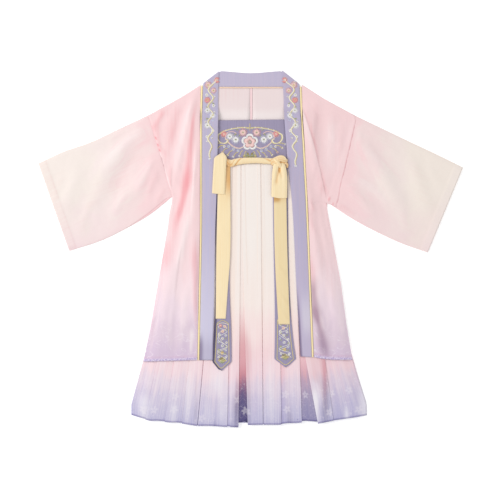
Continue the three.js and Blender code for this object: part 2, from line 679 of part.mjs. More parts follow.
// The flat ends of the tie, from each knot round to the band's side seam, under the robe's front.
function tieSide(side) {
  const outward = side === "left" ? -1 : 1;
  const knot = KNOTS[side];
  const startX = knot.x + outward * (knot.halfX + 0.5);
  const foot = steps(8).map((v) =>
    [0, 1].map((u) => {
      const x = mix(startX, outward * 150, v);
      const y = BAND_FOOT_Y + mix(1, 14, u);
      return [x, y, bandFoot("front", x, BAND_FOOT_Y) + BAND_CLOTH + SEAM];
    }),
  );
  return laid(foot, TIE_SIDE_CLOTH);
}

// A knot: a low soft lump, creased where the ribbon wraps round it.
function knot(side) {
  const { x, y, halfX, halfY, height } = KNOTS[side];
  const around = 18;
  const rings = [];
  for (const t of steps(7)) {
    const place = -Math.cos(Math.PI * mix(0.08, 0.92, t));
    const size = Math.sqrt(1 - place * place * 0.92);
    const ring = [];
    for (let k = 0; k < around; k += 1) {
      const angle = (2 * Math.PI * k) / around;
      const crease = 1 - 0.1 * Math.cos(3 * angle + 4 * place) ** 2;
      const rise = Math.max(-0.55, Math.sin(angle)) + 0.55;
      ring.push([
        x + halfX * place,
        y + halfY * size * crease * Math.cos(angle),
        TIE_FOOT_Z + 0.1 + (height / 1.55) * size * crease * rise,
      ]);
    }
    rings.push(ring);
  }
  return loft(rings);
}

// A loop of ribbon: down from the knot, round a fold at its foot and back up over itself.
function tieLoop({ table, footZ, peak = null, creases = 0 }) {
  const lowZ = footZ + RIBBON / 2;
  const fold = RIBBON + REST_GAP;
  const startY = table.at(-1).y - 8;
  const foldY = table[0].y;
  const down = steps(4).map((v) => ({ y: mix(startY, foldY + 1.4, v), z: lowZ, layer: 0 }));
  const turn = [{ y: foldY + 0.2, z: lowZ + fold / 2, layer: 0.5 }];
  const up = steps(7).map((v) => ({ y: mix(foldY + 1.4, table.at(-1).y, v), z: lowZ + fold, layer: 1 }));
  const path = [...down, ...turn, ...up];
  const middle = path.map(({ y, z, layer }) =>
    steps(8).map((u) => {
      const x = mix(read(table, "left", y), read(table, "right", y), u);
      if (layer < 1) return [x, y, z];
      const puff = read(table, "puff", y) * Math.sin(Math.PI * u) ** 0.7 * ease(foldY, foldY + 16, y);
      const gather = creases * ease(foldY + 20, table.at(-1).y, y) * Math.cos(6 * Math.PI * u);
      return [x, y, z + puff + gather];
    }),
  );
  if (peak) {
    const last = middle.at(-1);
    middle.push(
      last.map(([x, y], i) => {
        const u = i / (last.length - 1);
        const share = (peak.x - last[0][0]) / (last.at(-1)[0] - last[0][0]);
        const reach = u < share ? u / share : (1 - u) / (1 - share);
        return [mix(x, peak.x, 0.12), mix(y + 3, peak.y, reach), peak.z];
      }),
    );
  }
  const offset = (distance) =>
    middle.map((row, i) =>
      row.map(([x, y, z], j) => {
        const before = middle[Math.max(0, i - 1)][j];
        const after = middle[Math.min(middle.length - 1, i + 1)][j];
        const [dy, dz] = [after[1] - before[1], after[2] - before[2]];
        const length = Math.hypot(dy, dz);
        return [x, y - (dz / length) * distance, z + (dy / length) * distance];
      }),
    );
  return wall(offset(RIBBON / 2), offset(-RIBBON / 2));
}

const ruqun = new THREE.Group();

function add(name, geometry, colour, roughness = 0.85) {
  const material = new THREE.MeshStandardMaterial({ color: colour, roughness, metalness: 0 });
  const mesh = new THREE.Mesh(geometry, material);
  mesh.name = name;
  ruqun.add(mesh);
}

for (const side of ["left", "right"]) {
  add(`robe_back_${side}`, robeBack(side), COLOURS.pink);
  add(`robe_front_${side}`, robeFront(side), COLOURS.pink);
  add(`sleeve_${side}`, sleeve(side === "left" ? SLEEVE_LEFT : SLEEVE_RIGHT, side), COLOURS.cream);
  add(`collar_${side}`, collarFront(side), COLOURS.lavender);
  add(`piping_${side}`, pipingFront(side), COLOURS.yellow, 0.6);
  add(`tie_side_${side}`, tieSide(side), COLOURS.yellow, 0.6);
  add(`tie_knot_${side}`, knot(side), COLOURS.yellow, 0.6);
}
add("collar_back", collarBack(), COLOURS.lavender);
add("piping_back", pipingBack(), COLOURS.yellow, 0.6);
add("chest_band_front", chestBand("front"), COLOURS.purple);
add("chest_band_back", chestBand("back"), COLOURS.purple);
add("skirt_front", skirtFront(), COLOURS.cream);
add("skirt_back", skirtBack(), COLOURS.cream);
add("ribbon_left", strip(RIBBON_LEFT, ribbonFoot, RIBBON_TIPS.left), COLOURS.purple);
add("ribbon_right", strip(RIBBON_RIGHT, ribbonFoot, RIBBON_TIPS.right), COLOURS.purple);
add("tie_front", tieRoll(), COLOURS.yellow, 0.6);
add("tie_tail_left", strip(TAIL_LEFT, tailFoot), COLOURS.yellow, 0.6);
add("tie_tail_right", strip(TAIL_RIGHT, tailFoot), COLOURS.yellow, 0.6);
const loopLeft = tieLoop({ table: LOOP_LEFT, footZ: LOOP_FOOT_Z, peak: LOOP_LEFT_PEAK });
const loopRight = tieLoop({ table: LOOP_RIGHT, footZ: LOOP_FOOT_Z, creases: 0.8 });
add("tie_loop_left", loopLeft, COLOURS.yellow, 0.6);
add("tie_loop_right", loopRight, COLOURS.yellow, 0.6);

// The origin is the centre of the outline, on the floor.
const outline = new THREE.Box3().setFromObject(ruqun);
const centre = outline.getCenter(new THREE.Vector3());
ruqun.position.set(-centre.x, -centre.y, -outline.min.z);

export default ruqun;
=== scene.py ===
# %% [markdown]
# # A child's ruqun, laid flat
# A ruqun is a skirt tied high on the chest, worn under an open robe. This one lies on a white table
# with its sleeves spread. The frame holds every panel as a plain cloth wall at its real place. This
# lesson turns each wall into fine cloth: it reads the wall's outline and height, lays a dense grid of
# quads over it, presses listed creases into the grid, and paints the cloth from its own coordinates.
# Lengths are in millimetres until a mesh is made, because a tailor thinks in them.

from math import atan2, cos, pi, radians, sin

import bmesh
import bpy
import numpy as np
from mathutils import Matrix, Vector, noise
from mathutils.bvhtree import BVHTree


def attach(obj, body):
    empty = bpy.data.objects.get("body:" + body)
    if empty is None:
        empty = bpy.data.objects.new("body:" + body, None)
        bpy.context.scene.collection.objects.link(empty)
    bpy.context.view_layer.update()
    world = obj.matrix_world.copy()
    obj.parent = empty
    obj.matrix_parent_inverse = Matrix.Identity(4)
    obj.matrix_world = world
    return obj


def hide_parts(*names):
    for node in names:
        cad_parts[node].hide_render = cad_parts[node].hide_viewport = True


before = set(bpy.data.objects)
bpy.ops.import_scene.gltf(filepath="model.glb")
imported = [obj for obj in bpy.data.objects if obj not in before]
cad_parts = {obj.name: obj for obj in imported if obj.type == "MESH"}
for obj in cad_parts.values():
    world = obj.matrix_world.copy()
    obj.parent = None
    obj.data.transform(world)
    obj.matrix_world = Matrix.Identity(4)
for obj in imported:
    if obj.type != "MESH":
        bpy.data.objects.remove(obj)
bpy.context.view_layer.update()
MM = 0.001
print("pieces in the frame:", len(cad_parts))

# %% [markdown]
# ## Camera and light
# The photograph looks straight down, and a long lens keeps the garment's outline true. Its light is
# soft and comes from the left, so folds show faintly and the right sleeve is a little darker. A white
# world fills every shadow, and one large lamp at the left gives the cloth its direction. The colours
# are shown with the Standard view, so that a cloth painted in a colour also looks like it.

# %% Camera and light
VIEW_WIDTH = 1250  # what the picture spans across the table
VIEW_CENTRE = (-1.75, -3.25)
LENS_MM = 85
SENSOR_MM = 36

scene = bpy.context.scene
scene.view_settings.view_transform = "Standard"

camera_data = bpy.data.cameras.new("camera")
camera_data.lens = LENS_MM
camera_data.sensor_width = SENSOR_MM
camera = bpy.data.objects.new("camera", camera_data)
camera.location = (VIEW_CENTRE[0] * MM, VIEW_CENTRE[1] * MM, VIEW_WIDTH * MM * LENS_MM / SENSOR_MM)
scene.collection.objects.link(camera)
scene.camera = camera

world = bpy.data.worlds.new("white room")
world.use_nodes = True
world.node_tree.nodes["Background"].inputs["Color"].default_value = (1.0, 1.0, 1.0, 1.0)
world.node_tree.nodes["Background"].inputs["Strength"].default_value = 0.64
scene.world = world

# Each lamp's place in metres, the side of its square, its power in watts and its tint.
LAMPS = {
    "window": ((-2.4, 0.8, 1.9), 1.6, 47, (1.0, 0.985, 0.97)),
    "reflector": ((1.6, -1.6, 2.4), 2.0, 12, (1.0, 1.0, 1.0)),
}
for name, (place, side, power, tint) in LAMPS.items():
    lamp_data = bpy.data.lights.new(name, "AREA")
    lamp_data.size = side
    lamp_data.energy = power
    lamp_data.color = tint
    lamp = bpy.data.objects.new(name, lamp_data)
    lamp.location = place
    lamp.rotation_euler = (-Vector(place)).to_track_quat("-Z", "Y").to_euler()
    scene.collection.objects.link(lamp)
print("camera height in m:", round(camera.location.z, 2))

# %% [markdown]
# ## Painting helpers
# A shader is a graph of nodes. `add` makes one and wires its inputs, and the other functions add those
# that come back often: a sum, noise, a range, a run of colours, a blend. Colours are written as on a
# colour chart and turned to the linear values that light works with.

# %% Painting helpers
def linear(chart):
    """A colour written like f6d3d6, as linear light."""
    values = [int(chart[i : i + 2], 16) / 255 for i in (0, 2, 4)]
    return [v / 12.92 if v <= 0.04045 else ((v + 0.055) / 1.055) ** 2.4 for v in values] + [1.0]


def add(tree, kind, inputs=None, **settings):
    """A node of this kind, with its settings, and its inputs set or wired."""
    made = tree.nodes.new(kind)
    for key, value in settings.items():
        setattr(made, key, value)
    for key, value in (inputs or {}).items():
        if isinstance(value, bpy.types.NodeSocket):
            tree.links.new(value, made.inputs[key])
        else:
            made.inputs[key].default_value = value
    return made


def calc(tree, operation, first, second=0.0):
    """The result of one sum."""
    return add(tree, "ShaderNodeMath", {0: first, 1: second}, operation=operation).outputs[0]


def times(tree, first, second):
    """One number times another."""
    return calc(tree, "MULTIPLY", first, second)


def noisy(tree, **look):
    """Noise from 0 to 1, with the node's own inputs."""
    return add(tree, "ShaderNodeTexNoise", look).outputs["Fac"]


def spread(tree, value, low, high, to_low=0.0, to_high=1.0):
    """A value carried smoothly from one range to another."""
    ends = {"Value": value, "From Min": low, "From Max": high, "To Min": to_low, "To Max": to_high}
    return add(tree, "ShaderNodeMapRange", ends, interpolation_type="SMOOTHSTEP").outputs["Result"]


def ramp(tree, value, stops):
    """A run of colours along a value from 0 to 1."""
    made = add(tree, "ShaderNodeValToRGB", {"Fac": value})
    made.color_ramp.interpolation = "EASE"
    band = made.color_ramp.elements
    while len(band) < len(stops):
        band.new(0.5)
    for element, (place, chart) in zip(band, stops):
        element.position = place
        element.color = linear(chart)
    return made.outputs["Color"]


def blend(tree, share, first, second, mode="MIX"):
    """Two colours mixed by a share."""
    made = tree.nodes.new("ShaderNodeMix")
    made.data_type = "RGBA"
    made.blend_type = mode
    for socket, value in ((made.inputs[0], share), (made.inputs[6], first), (made.inputs[7], second)):
        if isinstance(value, bpy.types.NodeSocket):
            tree.links.new(value, socket)
        else:
            socket.default_value = linear(value) if isinstance(value, str) else value
    return made.outputs[2]


def new_material(name, roughness, sheen, sheen_tint="ffffff"):
    """An empty cloth material, with its tree and its shader."""
    material = bpy.data.materials.new(name)
    material.use_nodes = True
    tree = material.node_tree
    shader = tree.nodes["Principled BSDF"]
    shader.inputs["Roughness"].default_value = roughness
    shader.inputs["Sheen Weight"].default_value = sheen
    shader.inputs["Sheen Roughness"].default_value = 0.5
    shader.inputs["Sheen Tint"].default_value = linear(sheen_tint)
    shader.inputs["Specular IOR Level"].default_value = 0.25
    return material, tree, shader


# %% [markdown]
# The next functions belong to cloth: its weave, long streaks along it, and what its grid carries.

# %% Cloth helpers
WAVE_PERIOD = 0.314  # metres from band to band of a wave texture at scale 1
SLUB = 1.0  # how much the threads' uneven thickness counts in the bump, next to the threads


def weave(tree, shader, pitch, depth):
    """Threads across and along the cloth, as bump, from the piece's own map in metres."""
    cloth = add(tree, "ShaderNodeUVMap", uv_map="cloth").outputs["UV"]
    scale = WAVE_PERIOD / (pitch * MM)
    threads = []
    for direction in ("X", "Y"):
        look = {"Vector": cloth, "Scale": scale, "Distortion": 0.6, "Detail": 1.0}
        wave = add(tree, "ShaderNodeTexWave", look, bands_direction=direction)
        threads.append(wave.outputs["Fac"])
    uneven = noisy(tree, Vector=cloth, Scale=160.0, Detail=3.0)
    height = calc(tree, "MAXIMUM", threads[0], threads[1])
    height = calc(tree, "ADD", height, times(tree, uneven, SLUB))
    bump = add(tree, "ShaderNodeBump", {"Height": height, "Strength": 0.5, "Distance": depth * MM})
    tree.links.new(bump.outputs["Normal"], shader.inputs["Normal"])
    return cloth


def streaks(tree, cloth, across, along, detail=3.0):
    """Noise drawn out along the cloth: across and along are its grain's size in millimetres."""
    grain = (1 / (across * MM), 1 / (along * MM), 1.0)
    mapped = add(tree, "ShaderNodeMapping", {"Vector": cloth, "Scale": grain}).outputs["Vector"]
    return noisy(tree, Vector=mapped, Scale=1.0, Detail=detail)


def written(tree, mark):
    """A number that the cloth's grid carries, such as its tint."""
    return add(tree, "ShaderNodeAttribute", attribute_name=mark).outputs["Fac"]


def where(tree):
    """The place on the garment, in metres, as the X, Y and Z outputs of a node."""
    return add(tree, "ShaderNodeSeparateXYZ", {0: add(tree, "ShaderNodeTexCoord").outputs["Object"]}).outputs


print("painting helpers ready")

# %% [markdown]
# ## The robe's cloth
# The robe is dyed in one long fade: pink over the shoulders, cream at the cuffs and lavender at the
# hem. The fade follows the garment as it lies, so it reads the Object coordinates: the distance from
# the centre line drives the cuffs' cream, and the height drives the hem's lavender. Sheer cloth looks
# deeper where it is folded double, and its creases show light and shade, so each grid also carries a
# number called tint that its creases write, and the shader leans the colour by it: deeper for doubled
# cloth and painted shade, paler for a painted highlight where the cloth stands up. Two more such
# numbers say where the front lies in painted shadow and where the rolled hem is. The left cuff is also
# painted a little darker, as shade against the lamp at the left.

# %% The robe's cloth
# Where each fade begins and ends, in metres from the middle of the garment.
TOWARDS_CUFF = (0.12, 0.46)
TOWARDS_HEM = (-0.285, 0.06)
BODY_TO_LOW = (0.16, -0.12)
LEFT_CUFF_SHADE = (-0.24, -0.46)
WOVEN_BAND = (-0.14, -0.22)
CUFF_FADE = [(0.55, "f7e1e0"), (0.8, "f7e9e4"), (1.0, "f8ede4")]
LOW_FADE = [(0.0, "dac6dc"), (0.1, "e3cfde"), (0.3, "f0dce6"), (0.6, "f6e0e5"), (1.0, "f6dcdf")]


def woven_swirls(tree, cloth, height):
    """The share of a faint woven pattern: broken curling lines, only on the low part of the robe."""
    swirl = noisy(tree, Vector=cloth, Scale=42.0, Detail=0.6, Distortion=1.6)
    from_line = calc(tree, "ABSOLUTE", calc(tree, "SUBTRACT", swirl, 0.5))
    gaps = spread(tree, noisy(tree, Vector=cloth, Scale=60.0), 0.42, 0.56)
    line = times(tree, spread(tree, from_line, 0.035, 0.008), gaps)
    return times(tree, times(tree, line, spread(tree, height, *WOVEN_BAND)), 0.4)


def robe_cloth(name, body, deep, pale):
    """The robe's chiffon: its body colour, deep for doubled cloth and painted shade, and pale for a painted
    highlight where it stands up.
    """
    material, tree, shader = new_material(name, 0.8, 0.12, "ffe9ec")
    cloth = weave(tree, shader, 0.7, 0.05)
    place = where(tree)
    cloudy = noisy(tree, Scale=5.0, Detail=2.0)
    cloud = times(tree, calc(tree, "SUBTRACT", cloudy, 0.5), 0.12)
    reach = calc(tree, "ADD", calc(tree, "ABSOLUTE", place["X"]), cloud)
    drop = calc(tree, "ADD", place["Y"], cloud)
    sleeve = ramp(tree, spread(tree, reach, *TOWARDS_CUFF), [(0.0, body), (0.3, body), *CUFF_FADE])
    low = ramp(tree, spread(tree, drop, *TOWARDS_HEM), LOW_FADE)
    dyed = blend(tree, spread(tree, drop, *BODY_TO_LOW), sleeve, low)
    # Painted shade: the left cuff is darkened a little, against the lamp at the left.
    dyed = blend(tree, spread(tree, place["X"], *LEFT_CUFF_SHADE), dyed, "f9f9fc", "MULTIPLY")
    fine = times(tree, calc(tree, "SUBTRACT", streaks(tree, cloth, 5, 160), 0.5), 0.5)
    lean = calc(tree, "ADD", written(tree, "tint"), fine)
    # Painted shade and highlight: the tint leans the colour deeper in doubled cloth and creases' hollows,
    # and paler on their ridges.
    dyed = blend(tree, spread(tree, lean, 0.0, 1.1, 0.0, 0.85), dyed, deep, "MULTIPLY")
    dyed = blend(tree, spread(tree, lean, 0.0, -1.0, 0.0, 0.8), dyed, pale)
    dyed = blend(tree, woven_swirls(tree, cloth, place["Y"]), dyed, "f6ecf4")
    dyed = blend(tree, written(tree, "shadow"), dyed, "c2b2bd", "MULTIPLY")
    bits = spread(tree, streaks(tree, cloth, 4, 3, 1.0), 0.35, 0.65)
    hem_colour = blend(tree, bits, "b5a3d3", "e6dcf1")
    tree.links.new(blend(tree, written(tree, "rolled"), dyed, hem_colour), shader.inputs["Base Color"])
    return material


ROBE = robe_cloth("pink chiffon", "f9d9db", "f3b8be", "faeeee")
ROBE_INSIDE = robe_cloth("chiffon from inside", "efdfdf", "f0b9bf", "f6eceb")
print("robe cloths:", ROBE.name, "and", ROBE_INSIDE.name)

# %% [markdown]
# ## The skirt's cloth
# The skirt fades from cream through pink to lavender, and the fade keeps its distance from the hem, so
# it reads the cloth's own map, whose second number is that distance. Fine crinkles run down the cloth.
# Near the hem pale blossoms are printed: a Voronoi texture scatters their middles, and the distance
# and the angle from each middle draw five petals.

# %% The skirt's cloth
SKIRT_FADE = [
    (0.0, "b6b2d6"), (0.05, "c3bddb"), (0.12, "cfc5de"), (0.2, "e2d2e2"), (0.29, "f4d8e0"),
    (0.38, "f6d8dc"), (0.52, "f9e2e1"), (0.68, "f9ece6"), (1.0, "f7eee8"),
]
FADE_LENGTH = 0.46  # metres up from the hem
BLOSSOM_CELL = 0.046  # metres between printed blossoms
PRINT_TOP = (0.125, 0.09)  # the print fades in between these heights above the hem
CHALK = "f5eef4"  # the print's colour


def printed(tree, cloth, height):
    """The print's two shares, both only near the hem: scattered blossoms, and fine sprigs."""
    cells = {"Vector": cloth, "Scale": 1 / BLOSSOM_CELL, "Randomness": 0.75}
    spots = add(tree, "ShaderNodeTexVoronoi", cells, voronoi_dimensions="2D")
    chance = add(tree, "ShaderNodeSeparateColor", {0: spots.outputs["Color"]})
    between = {0: cloth, 1: spots.outputs["Position"]}
    aside = add(tree, "ShaderNodeVectorMath", between, operation="SUBTRACT")
    local = add(tree, "ShaderNodeSeparateXYZ", {0: aside.outputs[0]})
    angle = calc(tree, "ARCTAN2", local.outputs["Y"], local.outputs["X"])
    turned = calc(tree, "ADD", angle, times(tree, chance.outputs[0], 6.0))
    lobes = calc(tree, "ABSOLUTE", calc(tree, "COSINE", times(tree, turned, 2.5)))
    reach = calc(tree, "ADD", times(tree, lobes, 0.13), 0.1)
    petals = spread(tree, calc(tree, "DIVIDE", spots.outputs["Distance"], reach), 1.2, 0.7)
    heart = spread(tree, spots.outputs["Distance"], 0.02, 0.05)
    near_hem = spread(tree, height, *PRINT_TOP)
    shown = times(tree, calc(tree, "GREATER_THAN", chance.outputs[1], 0.5), near_hem)
    blossoms = times(tree, times(tree, petals, heart), shown)
    stems = noisy(tree, Vector=cloth, Scale=75.0, Detail=1.0)
    sprig = calc(tree, "ABSOLUTE", calc(tree, "SUBTRACT", stems, 0.5))
    sprigs = times(tree, spread(tree, sprig, 0.016, 0.004), near_hem)
    return times(tree, blossoms, 0.3), times(tree, sprigs, 0.22)


def skirt_cloth():
    """The skirt's chiffon. Tint deepens inner folds as painted shade, edge lays a faint peach line on each
    fold's edge, and pale lightens the left side.
    """
    material, tree, shader = new_material("pleated chiffon", 0.8, 0.1)
    cloth = weave(tree, shader, 0.7, 0.05)
    height = add(tree, "ShaderNodeSeparateXYZ", {0: cloth}).outputs["Y"]
    rough_edge = times(tree, calc(tree, "SUBTRACT", streaks(tree, cloth, 11, 90), 0.5), 0.07)
    rise = calc(tree, "DIVIDE", calc(tree, "ADD", height, rough_edge), FADE_LENGTH)
    dyed = ramp(tree, rise, SKIRT_FADE)
    crinkle = spread(tree, streaks(tree, cloth, 3.2, 260, 2.0), 0.35, 0.7)
    dyed = blend(tree, times(tree, crinkle, 0.22), dyed, "fdf8f6")
    # Painted shade inside the folds: the tint deepens the inner layers, violet near the hem and pink higher
    # up, most near the hem.
    fold_shade_share = times(tree, written(tree, "tint"), spread(tree, rise, 0.2, 0.6, 0.65, 0.15))
    depth = blend(tree, spread(tree, rise, 0.16, 0.32), "c6bfe0", "f2bcc4")
    dyed = blend(tree, fold_shade_share, dyed, depth, "MULTIPLY")
    shadow = written(tree, "shadow")
    dark = blend(tree, spread(tree, rise, 0.08, 0.3), "8a84a2", "d9a0a8")
    dyed = blend(tree, shadow, dyed, dark, "MULTIPLY")
    dyed = blend(tree, spread(tree, shadow, 0.0, -1.0, 0.0, 0.7), dyed, "fdfafd")
    chalk = spread(tree, streaks(tree, cloth, 6, 130, 3.0), 0.38, 0.62)
    chalk = times(tree, chalk, spread(tree, rise, 0.02, 0.2, 0.1, 0.26))
    dyed = blend(tree, times(tree, written(tree, "pale"), chalk), dyed, "fbf0f1")
    # A faint peach line along each fold's edge, high up: partly the cloth turning double, partly painted
    # shade.
    high_up = times(tree, spread(tree, rise, 0.35, 0.6), 0.22)
    dyed = blend(tree, times(tree, written(tree, "edge"), high_up), dyed, "f8d6c0")
    for share in printed(tree, cloth, height):
        dyed = blend(tree, share, dyed, CHALK)
    hemmed = times(tree, spread(tree, height, 0.0052, 0.0035), 0.45)
    dyed = blend(tree, hemmed, dyed, "9c97c4", "MULTIPLY")
    tree.links.new(dyed, shader.inputs["Base Color"])
    return material


SKIRT = skirt_cloth()
print("the skirt's fade has", len(SKIRT_FADE), "colours")

# %% [markdown]
# ## Band, collar, ribbon and tie cloth
# The collar, the chest band and the ribbons are a plain woven silk whose threads run in two shades, so
# long faint streaks lie along it. The tie is a softer satin ribbon. One function paints them all.

# %% Band, collar, ribbon and tie cloth
SILK_PITCH = 0.6  # between threads
SILK_DEPTH = 0.06
LONG_STREAKS = 0.7
CROSS_STREAKS = 0.21


def band_cloth(name, base, streak, roughness, sheen, across=3.0, shade="c9a9b4", low=None):
    """A plain silk. Its creases lean to the shade, and low is its colour further down the garment."""
    material, tree, shader = new_material(name, roughness, sheen)
    cloth = weave(tree, shader, SILK_PITCH, SILK_DEPTH)
    long_streaks = spread(tree, streaks(tree, cloth, across, 120), 0.3, 0.75)
    cross_streaks = spread(tree, streaks(tree, cloth, 60, 1.1), 0.35, 0.8)
    painted = blend(tree, times(tree, long_streaks, LONG_STREAKS), base, streak)
    painted = blend(tree, times(tree, cross_streaks, CROSS_STREAKS), painted, streak)
    if low:
        painted = blend(tree, spread(tree, where(tree)["Y"], 0.12, -0.2, 0.0, 0.75), painted, low)
    tint = written(tree, "tint")
    # The tint paints shade where it is more than 0, and light where it is less.
    painted = blend(tree, spread(tree, tint, 0.0, 1.0, 0.0, 0.8), painted, shade, "MULTIPLY")
    painted = blend(tree, spread(tree, tint, 0.0, -1.0, 0.0, 0.7), painted, "ffffff")
    tree.links.new(painted, shader.inputs["Base Color"])
    return material


DUSK = "8a7898"  # lavender silk in the shadow of a neighbour
COLLAR_LEFT = band_cloth("lavender silk", "bab6d4", "c9bbc9", 0.66, 0.12, 4.0, DUSK, "d6d2e8")
# Painted shade: the right collar is a darker copy of the left one, and darker still lower down.
COLLAR_RIGHT = band_cloth("lavender silk in shade", "b9b3d0", "c6b7c9", 0.66, 0.12, 4.0, DUSK, "c5bad3")
NECK = band_cloth("neck band silk", "c1bad3", "cbc0d6", 0.66, 0.12)
BAND = band_cloth("purple silk", "9b93ae", "aaa1bb", 0.7, 0.1)
RIBBON = band_cloth("purple ribbon silk", "9a92b0", "a59dba", 0.66, 0.12, shade="564c68")
TIE = band_cloth("cream gold ribbon", "fae3b6", "fdecc8", 0.55, 0.15, 2.2, "e0b070")
TAIL = band_cloth("gold ribbon in shade", "f1daab", "f4e2ba", 0.6, 0.12, 2.2, "d2ab70")
PIPING = band_cloth("yellow piping satin", "ffe8ac", "fff0c0", 0.45, 0.2, 1.2)
NECK_PIPING = band_cloth("peach neck piping", "fcd9b8", "fce2c8", 0.5, 0.2, 1.2)
SEAM = band_cloth("seam cloth", "fad9dc", "fbe0e2", 0.8, 0.1)
print("materials:", len(bpy.data.materials))

# %% [markdown]
# ## The table
# The garment lies on a white table that runs out of the picture and glows a little, so that it stays as
# white as in the photograph. It is stage only, and isn't part of the garment.

# %% The table
FLOOR_HALF = 4.0  # metres from its middle to its edge
FLOOR_DROP = 0.0003  # metres, just under the cloth


def floor_paint():
    material, tree, shader = new_material("white table", 0.9, 0.0)
    mottled = noisy(tree, Scale=3.0)
    tree.links.new(blend(tree, mottled, "fcfcfc", "ffffff"), shader.inputs["Base Color"])
    shader.inputs["Emission Color"].default_value = (1.0, 1.0, 1.0, 1.0)
    shader.inputs["Emission Strength"].default_value = 0.28
    return material


floor_mesh = bpy.data.meshes.new("table")
corners = [(x * FLOOR_HALF, y * FLOOR_HALF, -FLOOR_DROP) for x, y in ((-1, -1), (1, -1), (1, 1), (-1, 1))]
floor_mesh.from_pydata(corners, [], [(0, 1, 2, 3)])
floor_mesh.materials.append(floor_paint())
floor = bpy.data.objects.new("table", floor_mesh)
scene.collection.objects.link(floor)
print("table laid")

# %% [markdown]
# ## Reading a panel of the frame
# A panel's wall says where its cloth lies. Its outline is found by cutting the wall with a line in
# plan and taking the first and the last crossing. Its height is found with a ray from above.

# %% Reading a panel of the frame
MERGE = 1e-6  # metres: the frame's triangles share no corners, and corners this close are one
PULL_IN = 0.004  # share by which a point is drawn inwards, so that a ray at the edge still hits


def ease(low, high, value):
    """A soft step: 0 up to low, 1 from high on. With low above high it falls instead of rising."""
    t = np.clip((value - low) / (high - low), 0.0, 1.0)
    return t * t * (3 - 2 * t)


def read_table(rows, column, place):
    """A named column of a table at one place along its first column."""
    ordered = sorted(rows, key=lambda row: row[0])
    return np.interp(place, [row[0] for row in ordered], [row[column] for row in ordered])


class Wall:
    """One panel of the frame, in millimetres."""

    def __init__(self, name):
        solid = bmesh.new()
        solid.from_mesh(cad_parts[name].data)
        bmesh.ops.remove_doubles(solid, verts=solid.verts, dist=MERGE)
        self.tree = BVHTree.FromBMesh(solid)
        self.points = np.array([v.co[:] for v in solid.verts]) / MM
        self.edges = np.array([[v.index for v in e.verts] for e in solid.edges])
        solid.free()
        self.low, self.high = self.points.min(0), self.points.max(0)

    def cut(self, origin, along):
        """The first and last crossing of a line in plan, as distances along it."""
        along = np.array(along, float) / np.hypot(*along)
        offset = self.points[:, :2] - np.array(origin, float)
        side = offset[:, 0] * along[1] - offset[:, 1] * along[0]
        first, second = self.edges[:, 0], self.edges[:, 1]
        crossing = (side[first] > 0) != (side[second] > 0)
        first, second = first[crossing], second[crossing]
        share = side[first] / (side[first] - side[second])
        place = offset[first] + (offset[second] - offset[first]) * share[:, None]
        reach = place @ along
        return float(reach.min()), float(reach.max())

    def height(self, x, y):
        """The height of the wall's upper face at a point, or not a number beside it."""
        hit = self.tree.ray_cast(Vector((x * MM, y * MM, 1.0)), Vector((0, 0, -1)))[0]
        return np.nan if hit is None else hit.z / MM

    def heights(self, points):
        """Heights of a grid of points, filled in beside the wall from their neighbours."""
        rows, columns = points.shape[:2]
        middle = points.mean(axis=1, keepdims=True)
        pulled = points + (middle - points) * PULL_IN
        found = np.empty((rows, columns))
        for r in range(rows):
            found[r] = [self.height(*place) for place in pulled[r]]
            known = ~np.isnan(found[r])
            if known.any():
                found[r] = np.interp(np.arange(columns), np.flatnonzero(known), found[r][known])
            else:
                found[r] = found[r - 1]
        return found


def smooth_grid(values, rounds):
    """Evens out a grid of heights: its middle all round, and each edge along its own line."""
    values = values.copy()
    for _ in range(rounds):
        inner = values[1:-1, 1:-1]
        around = values[:-2, 1:-1] + values[2:, 1:-1] + values[1:-1, :-2] + values[1:-1, 2:]
        inner += 0.5 * (around / 4 - inner)
        for edge in (values[0], values[-1], values[:, 0], values[:, -1]):
            edge[1:-1] += 0.25 * (edge[:-2] + edge[2:] - 2 * edge[1:-1])
    return values


WALLS = {name: Wall(name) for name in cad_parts}
print("skirt hem in mm:", WALLS["skirt_front"].low.round(1))

# %% [markdown]
# ## Creases
# Laid cloth keeps soft ridges where it was pulled. Each crease is a line with a bend, a width and a
# height in millimetres, a sharpness that makes one flank steep, and the tint it gives the cloth. They
# are listed one by one, and they differ in length, depth and spacing, because equal ones look pressed.

# %% Creases
# Each entry: from x, y, to x, y, bend, width, height, steep side (1 right, -1 left of its run), tint,
# which paints shade along the crease where it is more than 0 and a highlight where it is less.
ROBE_LEFT_CREASES = [
    (-141, 384, -190, 168, 4, 10, 3.2, 0, -0.5),
    (-135, 380, -158, 150, 3, 8, 0.6, 0, 0.65),
    (-156, 205, -190, 40, -4, 13, 0.8, 0, 0.85),
    (-186, 60, -226, -60, 0, 20, 0.6, 0, 0.3),
    (-137, 260, -148, 90, 0, 7, 2.2, 1, -0.55),
    (-150, 110, -176, -60, 4, 13, 2.6, 0, -0.7),
    (-172, 10, -190, -130, 3, 9, 1.6, -1, -0.25),
    (-138, 40, -142, -190, 0, 8, 1.7, 0, 0.4),
    (-133, -20, -136, -255, 0, 5, 1.0, 0, 0.3),
    (-160, -90, -172, -262, 3, 12, 2.0, 0, -0.35),
    (-186, -110, -206, -268, 3, 10, 1.6, 0, -0.2),
    (-200, 125, -214, 20, 0, 9, 1.4, 0, -0.5),
    (-226, -40, -250, -240, 4, 14, 1.8, 0, 0.25),
    (-145, -190, -150, -268, 0, 7, 0.6, 0, -0.6),
    (-212, 352, -243, 286, 3, 10, 1.8, 0, 0.55),
    (-176, 372, -196, 250, 4, 12, 1.2, 0, 0.35),
    (-201, 330, -216, 200, -5, 13, 1.0, 0, 0.2),
    (-196, 215, -199, 140, 2, 8, 1.6, -1, 0.35),
    (-232, 300, -214, 232, 6, 6, 0.9, 0, 0.4),
]
